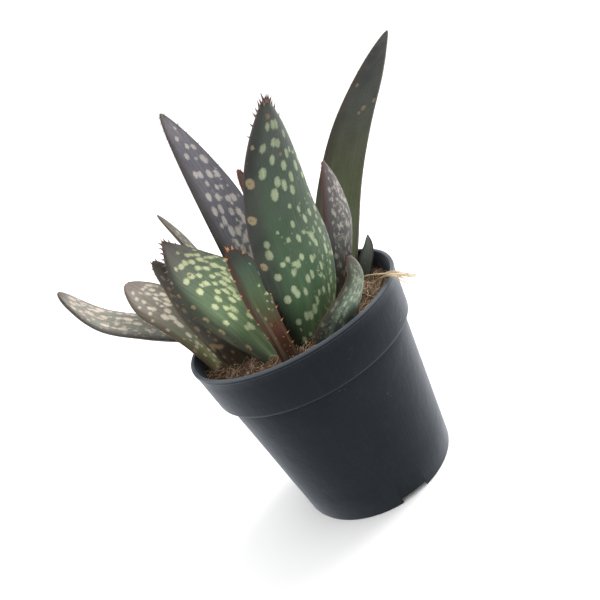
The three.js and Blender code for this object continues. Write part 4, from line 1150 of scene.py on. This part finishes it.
def fibre_tree(material):
    """Coir fibres lying on the compost: seeded points, each with a bent, tapering hair kept inside the pot."""
    tree, get, output = new_tree(
        "coir_fibres",
        Density=180000.0, Length=9 * MM, Thickness=0.17 * MM, Waviness=5 * MM, Reach=49.2 * MM, Seed=7,
    )
    points = scatter(tree, get)
    line = add(tree, "CurvePrimitiveLine", Start=(0, 0, -0.5), End=(0, 0, 0.5), mode="POINTS")
    line = add(tree, "ResampleCurve", Curve=line, Count=8)
    line = add(tree, "SetCurveRadius", Curve=line, Radius=1.0)
    second, third = (add(tree, "Math", get["Seed"], k, operation="ADD") for k in (1, 2))
    tilt = add(
        tree, "RandomValue", (1.28, 0.0, 0.0), (1.75, 0.3, 6.283), Seed=get["Seed"], data_type="FLOAT_VECTOR",
    )
    size = add(tree, "RandomValue", 0.35, 1.25, Seed=second, data_type="FLOAT")
    tint = add(tree, "RandomValue", 0.0, 1.0, Seed=third, data_type="FLOAT")
    points = add(tree, "StoreNamedAttribute", Geometry=points, Name="tint", Value=tint, data_type="FLOAT")
    scale = add(tree, "CombineXYZ", 1.0, 1.0, add(tree, "Math", size, get["Length"], operation="MULTIPLY"))
    strands = add(tree, "InstanceOnPoints", Points=points, Instance=line, Rotation=tilt, Scale=scale)
    strands = add(tree, "RealizeInstances", strands)
    wave = add(tree, "TexNoise", Vector=add(tree, "InputPosition"), Scale=170.0, Detail=2.0, out="Color")
    sway = add(tree, "VectorMath", wave, (0.5, 0.5, 0.42), operation="SUBTRACT")
    sway = add(tree, "VectorMath", sway, get["Waviness"], operation="SCALE")
    strands = add(tree, "SetPosition", Geometry=strands, Offset=sway)
    # Strands are drawn back inside the wall and kept from standing above the rim.
    x, y, z = add(tree, "SeparateXYZ", add(tree, "InputPosition")).node.outputs
    far = add(tree, "VectorMath", add(tree, "CombineXYZ", x, y), operation="LENGTH")
    far = add(tree, "Math", far, 0.001, operation="MAXIMUM")
    back = add(tree, "Math", 1.0, add(tree, "Math", get["Reach"], far, operation="DIVIDE"), operation="MINIMUM")
    inner = add(
        tree, "CombineXYZ", add(tree, "Math", x, back, operation="MULTIPLY"),
        add(tree, "Math", y, back, operation="MULTIPLY"), add(tree, "Math", z, FIBRE_TOP * MM, operation="MINIMUM"),
    )
    strands = add(tree, "SetPosition", Geometry=strands, Position=inner)
    taper = add(tree, "Math", add(tree, "SplineParameter"), 0.6, operation="MULTIPLY")
    taper = add(tree, "Math", 1.0, taper, operation="SUBTRACT")
    thick = add(tree, "Math", taper, get["Thickness"], operation="MULTIPLY")
    strands = add(tree, "SetCurveRadius", Curve=strands, Radius=thick)
    return finish_tree(tree, output, tubes(tree, strands, 3), material)


def crumb_tree(material):
    """Crumbs and clods of peat and coir pith: seeded points with lumpy grains of 0.5 to 2.6 mm."""
    tree, get, output = new_tree(
        "compost_crumbs",
        Density=150000.0, Smallest=0.28 * MM, Largest=1.3 * MM, Lumpiness=1.5 * MM, Seed=21,
    )
    points = scatter(tree, get)
    draw = add(tree, "RandomValue", 0.0, 1.0, Seed=get["Seed"], data_type="FLOAT")
    second, fourth = (add(tree, "Math", get["Seed"], k, operation="ADD") for k in (1, 3))
    tint = add(tree, "RandomValue", 0.0, 1.0, Seed=fourth, data_type="FLOAT")
    points = add(tree, "StoreNamedAttribute", Geometry=points, Name="tint", Value=tint, data_type="FLOAT")
    ball = add(tree, "MeshIcoSphere", Radius=1.0, Subdivisions=2)
    spin = add(tree, "RandomValue", (0.0, 0.0, 0.0), (6.283, 6.283, 6.283), Seed=second, data_type="FLOAT_VECTOR")
    small = add(tree, "Math", draw, 2.5, operation="POWER")
    size = add(tree, "MapRange", small, To_Min=get["Smallest"], To_Max=get["Largest"])
    deep, low = (add(tree, "Math", size, share, operation="MULTIPLY") for share in (0.75, 0.6))
    squash = add(tree, "CombineXYZ", size, deep, low)
    grains = add(tree, "InstanceOnPoints", Points=points, Instance=ball, Rotation=spin, Scale=squash)
    grains = add(tree, "RealizeInstances", grains)
    lump = add(tree, "TexNoise", Vector=add(tree, "InputPosition"), Scale=700.0, Detail=2.0, out="Color")
    lump = add(tree, "VectorMath", lump, (0.5, 0.5, 0.5), operation="SUBTRACT")
    lump = add(tree, "VectorMath", lump, get["Lumpiness"], operation="SCALE")
    grains = add(tree, "SetPosition", Geometry=grains, Offset=lump)
    return finish_tree(tree, output, grains, material)


def strand_tree(material):
    """Straw strands: each edge chain becomes a tube as thick as its points say."""
    tree, get, output = new_tree("straw_strands", Sides=5)
    thick = add(tree, "InputNamedAttribute", Name="thick", data_type="FLOAT")
    curve = add(tree, "SetCurveRadius", Curve=add(tree, "MeshToCurve", get["Geometry"]), Radius=thick)
    along = add(tree, "SplineParameter")
    curve = add(tree, "StoreNamedAttribute", Geometry=curve, Name="height", Value=along, data_type="FLOAT")
    strands = tubes(tree, curve, get["Sides"], Fill_Caps=True)
    return finish_tree(tree, output, add(tree, "SetShadeSmooth", Geometry=strands, Shade_Smooth=True), material)


def bake_nodes(piece, tree, **inputs):
    """Runs the tree on the piece and leaves its result as a plain mesh."""
    modifier = piece.modifiers.new(tree.name, "NODES")
    modifier.node_group = tree
    for item in tree.interface.items_tree:
        key = item.name.lower().replace(" ", "_")
        if item.in_out == "INPUT" and key in inputs:
            modifier[item.identifier] = inputs[key]
    graph = bpy.context.evaluated_depsgraph_get()
    graph.update()
    mesh = bpy.data.meshes.new_from_object(
        piece.evaluated_get(graph), preserve_all_data_layers=True, depsgraph=graph
    )
    piece.modifiers.remove(modifier)
    old = piece.data
    mesh.name = piece.name
    piece.data = mesh
    bpy.data.meshes.remove(old)
    if not len(mesh.polygons):
        raise RuntimeError(f"{tree.name} made nothing for {piece.name}")
    return piece


def settle(piece, slot, *nodes):
    """Moves the finished piece to its place; it rides on the one body and stands for its CAD nodes."""
    piece.data.transform(Matrix.Translation(AXIS))
    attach(piece, "root")
    if nodes:
        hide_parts(*nodes)
    return piece


# ---------------------------------------------------------------- pot, compost and straw geometry

# (radius, height) from the axis above the floor, over the lip and back under the floor to the axis.
POT_PROFILE = (
    (0, 4.2), (12, 4.2), (24, 4.2), (37.4, 4.2), (38.1, 4.5), (38.5, 5.4), (40.3, 21), (42.25, 38),
    (44.2, 55), (46.1, 72.2), (46.4, 72.7), (48.8, 74.9), (49.05, 75.4), (49.6, 81), (50.2, 87),
    (50.8, 92.8), (50.7, 94.4), (50.85, 94.8), (51.2, 95), (52.0, 95), (52.38, 94.8), (52.49, 94.4),
    (52.49, 93.5), (52.4, 93.2), (52.15, 93.0), (52, 92.7), (51.7, 89), (51.25, 84), (50.75, 79),
    (50.3, 74.5), (50.1, 73.5), (49.75, 73.1), (49.2, 73), (47.45, 73), (47.3, 72.85), (45.87, 60),
    (44.26, 45), (42.66, 30), (41.06, 15), (39.5, 0.4), (39.35, 0.1), (39.1, 0), (37.35, 0), (37.2, 0.15),
    (37.2, 2.8), (37.0, 3), (24, 3), (12, 3), (0, 3),
)
POT_SIDES = 192
# (radius, height) down the side of the compost, from just under its top to its flat underside.
COMPOST_WALL = ((48.7, 76.5), (48.4, 74.6), (45.9, 72.3), (45.7, 71.5), (38.15, 5.6), (37.6, 4.8))


def ring(radius, height, sides):
    """Even points round the axis; height is in millimetres or a function of x and y."""
    angles = 2 * np.pi * np.arange(sides) / sides
    x, y = radius * np.cos(angles), radius * np.sin(angles)
    return np.stack([x, y, height(x, y) if callable(height) else np.full(sides, float(height))], -1)


def revolved(name, rings):
    """A piece of rings, each joined to the next; a single point at either end closes it."""
    vertices, polygons, starts = np.concatenate(rings), [], np.cumsum([0, *map(len, rings)]).tolist()
    indices = [range(start, end) for start, end in zip(starts, starts[1:])]
    for low, high in zip(indices, indices[1:]):
        for k in range(max(len(low), len(high))):
            corners = (low[k % len(low)], high[k % len(high)], high[(k + 1) % len(high)], low[(k + 1) % len(low)])
            polygons.append(tuple(dict.fromkeys(corners)))
    piece = new_piece(name, (vertices * MM).tolist(), (), polygons)
    piece.data.validate()
    return piece


def soil_height(x, y):
    """The compost's height in millimetres: the solids' lumps and dome, with finer ones of a few millimetres."""
    lumps = np.sin(0.31 * x + 1.3) * np.cos(0.27 * y - 0.4)
    lumps = lumps + 0.6 * np.sin(0.72 * x - 0.55 * y + 2.1) + 0.4 * np.cos(0.9 * y + 0.5 * x)
    finer = np.sin(1.7 * x + 0.8 * y) * np.sin(1.3 * y - 0.9 * x + 1.0)
    finer = finer + 0.6 * np.sin(3.1 * x - 1.1 * y + 0.5) * np.sin(2.7 * y + 1.9)
    return SOIL_TOP + 0.55 * lumps + 1.2 * (1 - (x * x + y * y) / RIM_RADIUS**2) + 0.35 * finer


def soil_body():
    """The compost as a closed body that fills the pot, with a fine lumpy top that dips at the wall."""
    sides, steps = 168, 64
    rings = [ring(0, soil_height, 1)]
    for i in range(1, steps + 1):
        radius = COMPOST_RADIUS * i / steps
        dip = 0.8 * smooth((radius - 46) / 4)
        rings.append(ring(radius, lambda x, y, dip=dip: soil_height(x, y) - dip, sides))
    rings += [ring(radius, height, sides) for radius, height in COMPOST_WALL]
    return revolved("compost", [*rings, ring(0, COMPOST_WALL[-1][1], 1)])


def soil_patch(name, lift):
    """The compost's top alone, raised by lift, for the trees that scatter on it."""
    steps = 24
    radii = [SCATTER_RADIUS * max(i, 0.02) / steps for i in range(steps + 1)]
    return revolved(name, [ring(radius, lambda x, y: soil_height(x, y) + lift, 72) for radius in radii])


STRAW_PATHS = (
    ((40, -11, 83.5), (41.5, -13, 91.5), (43.5, -31.2, 97.3), (48.6, -42.5, 93.1)),
    ((41.5, -13, 83.5), (43, -15, 90.5), (44.8, -29.8, 97.1), (53, -40.5, 93.7)),
    ((39.5, -14, 83.5), (41, -16, 89.2), (42.5, -32.6, 97.5), (46, -44.5, 94.9)),
    ((32, -3, 86.5), (36, -8, 93.2), (43.8, -30.6, 97.0), (51, -42, 94.0)),
    ((35, -16, 87.0), (38, -20, 92.6), (43, -31.8, 96.9), (55, -43, 92.8)),
)


def straw_chains():
    """Bundles of straw that rise from the compost and cross the rim, split into strands that fray at their ends."""
    rng = random.Random(11)
    vertices, edges, thick, tint = [], [], [], []

    def chain(points, radius, shade):
        """Adds one strand that thins to a quarter at its end."""
        first = len(vertices)
        for i, point in enumerate(points):
            vertices.append(tuple(c * MM for c in point))
            thick.append(radius * MM * (1 - 0.75 * i / (len(points) - 1)))
            tint.append(shade)
        edges.extend((first + i, first + i + 1) for i in range(len(points) - 1))

    for path in STRAW_PATHS:
        for k in range(16):
            spread = [rng.uniform(-1, 1) for _ in range(6)]
            end = 1.0 if k < 4 else rng.uniform(0.62, 1.0)
            points = []
            for i in range(22):
                t = i / 21 * end
                p = [float(through([q[c] for q in path], np.array([t]))[0]) for c in range(3)]
                fan = 0.3 + 0.9 * t * t + 1.6 * max(0.0, t - 0.72) if k else 0.05
                p[0] += fan * spread[0] + 0.18 * math.sin(9 * t + 3 * spread[1])
                p[1] += fan * spread[2] + 0.18 * math.cos(8 * t + 3 * spread[3])
                p[2] += 0.45 * fan * abs(spread[4]) + 0.1 * math.sin(11 * t + spread[5])
                points.append(p)
            chain(points, 0.36 if k == 0 else rng.uniform(0.11, 0.24), rng.random())
    # Loose short bits of the same straw lie round the knot, inside the wall.
    for _ in range(60):
        angle, lean = rng.uniform(0, 6.283), rng.uniform(-0.1, 0.45)
        x, y = 39.0 + rng.gauss(0, 3.4), -16.0 + rng.gauss(0, 8.0)
        long = rng.uniform(3, 9)
        points = []
        for i in range(9):
            s = i / 8 * long
            px, py = x + s * math.cos(angle + 0.05 * s), y + s * math.sin(angle + 0.05 * s)
            far = math.hypot(px, py)
            if far > STRAW_REACH:
                px, py = px * STRAW_REACH / far, py * STRAW_REACH / far
            points.append((px, py, 86.4 + s * lean + 0.4 * math.sin(s + angle)))
        chain(points, rng.uniform(0.14, 0.26), rng.random())
    piece = new_piece("straw_tuft_strands", vertices, edges, mesh_name="straw")
    store(piece.data, "thick", thick)
    store(piece.data, "tint", tint)
    return piece


# ---------------------------------------------------------------- settings


def colour_setting(name, description, default):
    """A colour that the user may change; the default is linear."""
    return bpy.props.FloatVectorProperty(
        name=name, description=description, subtype="COLOR", size=3, min=0, max=1, default=default
    )


def share_setting(name, description, default, low=0):
    """A part of one that the user may change."""
    return bpy.props.FloatProperty(
        name=name, description=description, subtype="FACTOR", min=low, max=1, default=default
    )


def size_setting(name, description, default, low=0, unit="NONE"):
    """A length, power or count that the user may change."""
    return bpy.props.FloatProperty(name=name, description=description, unit=unit, min=low, default=default)


class PotSettings(bpy.types.PropertyGroup):
    """Finish of the grow pot."""

    wall: colour_setting("Wall", "Main colour of the plastic", linear("#13171b"))
    wall_light: colour_setting("Wall, paler", "Colour of its paler clouds", linear("#191f25"))
    roughness: share_setting("Roughness", "How matt the moulded skin is", 0.46)
    dust: share_setting("Dust", "How much dust lies on it", 0.5)


class LeafSettings(bpy.types.PropertyGroup):
    """Skin and teeth of the leaves."""

    step: size_setting("Mesh step", "Distance between the skin's points", 0.75 * MM, 0.4 * MM, "LENGTH")
    roughness: share_setting("Roughness", "How matt the waxy skin is", 0.5)
    bloom: share_setting("Bloom", "Strength of the powdery bloom", 0.03)
    tooth_width: share_setting("Tooth width", "Width of a tooth's root as a share of its length", 0.5, 0.1)


class CompostSettings(bpy.types.PropertyGroup):
    """Compost, fibres and crumbs."""

    light: colour_setting("Light", "Colour of dry fibre", linear("#b39a84"))
    dark: colour_setting("Dark", "Colour of damp crumb", linear("#543f2f"))
    fibre_length: size_setting("Fibre length", "Length of a long coir fibre", 9 * MM, 1 * MM, "LENGTH")
    fibres: size_setting("Fibres", "Coir fibres to the square metre", 190000.0)
    crumbs: size_setting("Crumbs", "Crumbs to the square metre", 170000.0)


class StrawSettings(bpy.types.PropertyGroup):
    """Straw tuft on the rim."""

    light: colour_setting("Light", "Paler straw", linear("#ddcdae"))
    dark: colour_setting("Dark", "Darker straw", linear("#a68c6a"))


class StageSettings(bpy.types.PropertyGroup):
    """Floor, lights and camera."""

    floor: colour_setting("Floor", "Colour of the floor", (0.94, 0.94, 0.94))
    sky: size_setting("Sky", "Strength of the even light from all round", 1.0)
    key: size_setting("Key light", "Power of the large soft light", 11.0, unit="POWER")
    lens: size_setting("Lens", "Focal length on a 36 mm sensor", 37.2, 1, "CAMERA")


# ---------------------------------------------------------------- operators

FLOOR_RADIUS, FLOOR_SIDES = 8.0, 96
SHARP_ANGLE = math.radians(32)
CAMERA_PLACE = Vector((0.0, -0.270248, 0.19237))
CAMERA_TURN = Matrix((
    (0.865076, 0.501128, -0.022676),
    (-0.186841, 0.279925, -0.941665),
    (-0.465547, 0.818849, 0.335787),
))

GROUPS = {
    "front": ("large_front", "broad_left", "channelled", "short_front"),
    "left": ("back_left", "inner_back", "under_left", "outer_left", "arching_left", "thin_back"),
    "right": ("tall_right", "grey_right", "small_right"),
}


def dress_leaves(group):
    """Makes the skins of one clump, each standing for its CAD leaf."""
    settings = bpy.context.scene.aloe_leaves
    for name in GROUPS[group]:
        slot = SKINS[name]["slot"]
        material = bpy.data.materials.get("cuticle_" + slot)
        if material is None:
            matt = {"leaf_green": 0.0, "leaf_olive": 0.03, "leaf_grey": 0.05}[slot]
            material = waxy_cuticle("cuticle_" + slot, settings.roughness + matt, settings.bloom)
        piece = make_leaf(name, LEAVES[name], SKINS[name], material, settings.step / MM)
        settle(piece, slot, "leaf_" + name)


class ALOE_OT_front_leaves(bpy.types.Operator):
    """Makes the skins of the four front leaves"""

    bl_idname = "aloe.front_leaves"
    bl_label = "Front leaves"

    def execute(self, context):
        dress_leaves("front")
        return {"FINISHED"}


class ALOE_OT_left_leaves(bpy.types.Operator):
    """Makes the skins of the six left and back leaves"""

    bl_idname = "aloe.left_leaves"
    bl_label = "Left leaves"

    def execute(self, context):
        dress_leaves("left")
        return {"FINISHED"}


class ALOE_OT_right_leaves(bpy.types.Operator):
    """Makes the skins of the three right leaves"""

    bl_idname = "aloe.right_leaves"
    bl_label = "Right leaves"

    def execute(self, context):
        dress_leaves("right")
        return {"FINISHED"}


class ALOE_OT_teeth(bpy.types.Operator):
    """Sets the horny teeth along every leaf's margins"""

    bl_idname = "aloe.teeth"
    bl_label = "Teeth"

    def execute(self, context):
        tree = teeth_tree(tooth_horn())
        for name, teeth in TEETH.items():
            wide = context.scene.aloe_leaves.tooth_width * teeth.get("wide", 1.0)
            piece = bake_nodes(tooth_roots(name, LEAVES[name], teeth), tree, base_width=wide)
            settle(piece, SKINS[name]["slot"])
        return {"FINISHED"}


class ALOE_OT_pot(bpy.types.Operator):
    """Turns the grow pot and cuts its foot arches and drain holes"""

    bl_idname = "aloe.pot"
    bl_label = "Pot"

    def execute(self, context):
        plastic = moulded_polypropylene(context.scene.aloe_pot)
        rings = [ring(radius, height, POT_SIDES if radius else 1) for radius, height in POT_PROFILE]
        piece = bake_nodes(revolved("grow_pot", rings), foot_cut_tree(plastic))
        piece.data.shade_smooth()
        piece.data.set_sharp_from_angle(angle=SHARP_ANGLE)
        settle(piece, "pot", "pot")
        return {"FINISHED"}


class ALOE_OT_compost(bpy.types.Operator):
    """Fills the pot with compost and scatters crumbs and coir fibres on it"""

    bl_idname = "aloe.compost"
    bl_label = "Compost"

    def execute(self, context):
        settings = context.scene.aloe_compost
        light, dark = tuple(settings.light), tuple(settings.dark)
        body = soil_body()
        body.data.shade_smooth()
        body.data.materials.append(coir_compost("coir_and_peat", light, dark, 420.0))
        settle(body, "soil", "soil")
        loose = coir_compost("coir_crumbs", light, dark, 500.0)
        crumbs = bake_nodes(soil_patch("compost_crumbs", 0.1), crumb_tree(loose), density=settings.crumbs)
        settle(crumbs, "soil")
        hair = coir_compost("coir_fibre", linear("#c9b296"), linear("#7a6047"), 300.0)
        fibres = bake_nodes(
            soil_patch("coir_fibres", 0.5), fibre_tree(hair), density=settings.fibres, length=settings.fibre_length
        )
        settle(fibres, "soil")
        return {"FINISHED"}


class ALOE_OT_straw(bpy.types.Operator):
    """Lays the straw tuft over the rim"""

    bl_idname = "aloe.straw"
    bl_label = "Straw"

    def execute(self, context):
        piece = bake_nodes(straw_chains(), strand_tree(dry_straw(context.scene.aloe_straw)))
        settle(piece, "straw", "straw_tuft")
        return {"FINISHED"}


class ALOE_OT_stage(bpy.types.Operator):
    """Sets the floor, the soft studio light and the camera"""

    bl_idname = "aloe.stage"
    bl_label = "Stage"

    def execute(self, context):
        scene = context.scene
        settings = scene.aloe_stage
        # Matt white studio paper: it takes the pot's soft shadow and gives no reflection.
        material, _ = new_material("matt_studio_paper")
        finish_material(material, tuple(settings.floor), (), (), Roughness=0.9, Specular_IOR_Level=0.1)
        turns = [2 * math.pi * k / FLOOR_SIDES for k in range(FLOOR_SIDES)]
        vertices = [(FLOOR_RADIUS * math.cos(a), FLOOR_RADIUS * math.sin(a), 0.0) for a in turns]
        floor = new_piece("floor", vertices, (), [tuple(range(FLOOR_SIDES))])
        floor.data.materials.append(material)

        # The sky is brighter overhead and to the right; the camera sees it plain white.
        world = bpy.data.worlds.new("soft_sky")
        world.use_nodes = True
        sky = world.node_tree
        sky.nodes.clear()
        toward = add(sky, "TexCoord", out="Generated")
        height = add(sky, "SeparateXYZ", toward, out="Z")
        right = add(sky, "VectorMath", toward, (0.87, 0.35, 0.35), operation="DOT_PRODUCT")
        above = add(sky, "MapRange", height, 0.0, 1.0, 0.38, 1.45, **FADE)
        beside = add(sky, "MapRange", right, 0.3, 1.0, 0.0, 0.6, **FADE)
        glow = add(sky, "Math", above, beside, operation="ADD")
        glow = add(sky, "Math", glow, settings.sky, operation="MULTIPLY")
        lit = add(sky, "Mix", add(sky, "LightPath", out="Is Camera Ray"), glow, 1.0, data_type="FLOAT")
        add(sky, "OutputWorld", add(sky, "Background", Color=(1.0, 1.0, 1.0), Strength=lit))
        scene.world = world

        def lamp(name, place, aim, size, power, colour):
            """A round soft lamp at place that points to aim."""
            light = bpy.data.lights.new(name, "AREA")
            light.shape, light.size, light.energy, light.color = "DISK", size, power, colour
            holder = bpy.data.objects.new(name, light)
            holder.location = Vector(place) + AXIS
            holder.rotation_euler = (Vector(aim) - Vector(place)).to_track_quat("-Z", "Y").to_euler()
            scene.collection.objects.link(holder)

        lamp("key", (0.75, 0.3, 0.75), (0, 0, 0.09), 0.7, settings.key, (1.0, 0.98, 0.95))
        lamp("fill", (-0.5, -0.7, 0.8), (0, 0, 0.1), 0.9, settings.key * 0.15, (0.97, 0.98, 1.0))

        # The camera is rolled as the photograph was taken, so that the pot stands level.
        camera = bpy.data.cameras.new("camera")
        camera.sensor_width, camera.lens = 36.0, settings.lens
        camera.clip_start, camera.clip_end = 0.01, 50.0
        holder = bpy.data.objects.new("camera", camera)
        holder.matrix_world = Matrix.Translation(CAMERA_PLACE + AXIS) @ CAMERA_TURN.to_4x4()
        scene.collection.objects.link(holder)
        scene.camera = holder
        scene.view_settings.view_transform = "Standard"
        scene.view_settings.look = "None"
        return {"FINISHED"}


class ALOE_PT_panel(bpy.types.Panel):
    """Settings and steps of the potted aloe"""

    bl_idname = "ALOE_PT_panel"
    bl_label = "Potted aloe"
    bl_space_type = "VIEW_3D"
    bl_region_type = "UI"
    bl_category = "Aloe"

    def draw(self, context):
        layout = self.layout
        for title, attribute_name, settings, steps in STEPS:
            box = layout.box()
            box.label(text=title)
            group = getattr(context.scene, attribute_name)
            for key in settings.__annotations__:
                box.prop(group, key)
            for step in steps:
                box.operator(step.bl_idname)


STEPS = (
    ("Stage", "aloe_stage", StageSettings, (ALOE_OT_stage,)),
    ("Pot", "aloe_pot", PotSettings, (ALOE_OT_pot,)),
    ("Compost", "aloe_compost", CompostSettings, (ALOE_OT_compost,)),
    ("Straw", "aloe_straw", StrawSettings, (ALOE_OT_straw,)),
    (
        "Leaves", "aloe_leaves", LeafSettings,
        (ALOE_OT_front_leaves, ALOE_OT_left_leaves, ALOE_OT_right_leaves, ALOE_OT_teeth),
    ),
)


def register():
    """Registers each group of settings with its operators, and the panel."""
    for _, attribute_name, settings, steps in STEPS:
        bpy.utils.register_class(settings)
        setattr(bpy.types.Scene, attribute_name, bpy.props.PointerProperty(type=settings))
        for step in steps:
            bpy.utils.register_class(step)
    bpy.utils.register_class(ALOE_PT_panel)


def unregister():
    """Takes all of it back, in reverse."""
    bpy.utils.unregister_class(ALOE_PT_panel)
    for _, attribute_name, settings, steps in reversed(STEPS):
        for step in reversed(steps):
            bpy.utils.unregister_class(step)
        delattr(bpy.types.Scene, attribute_name)
        bpy.utils.unregister_class(settings)


def main():
    """Makes every piece in order."""
    register()
    for _, _, _, steps in STEPS:
        for step in steps:
            family, name = step.bl_idname.split(".")
            getattr(getattr(bpy.ops, family), name)()


if __name__ == "__main__":
    main()
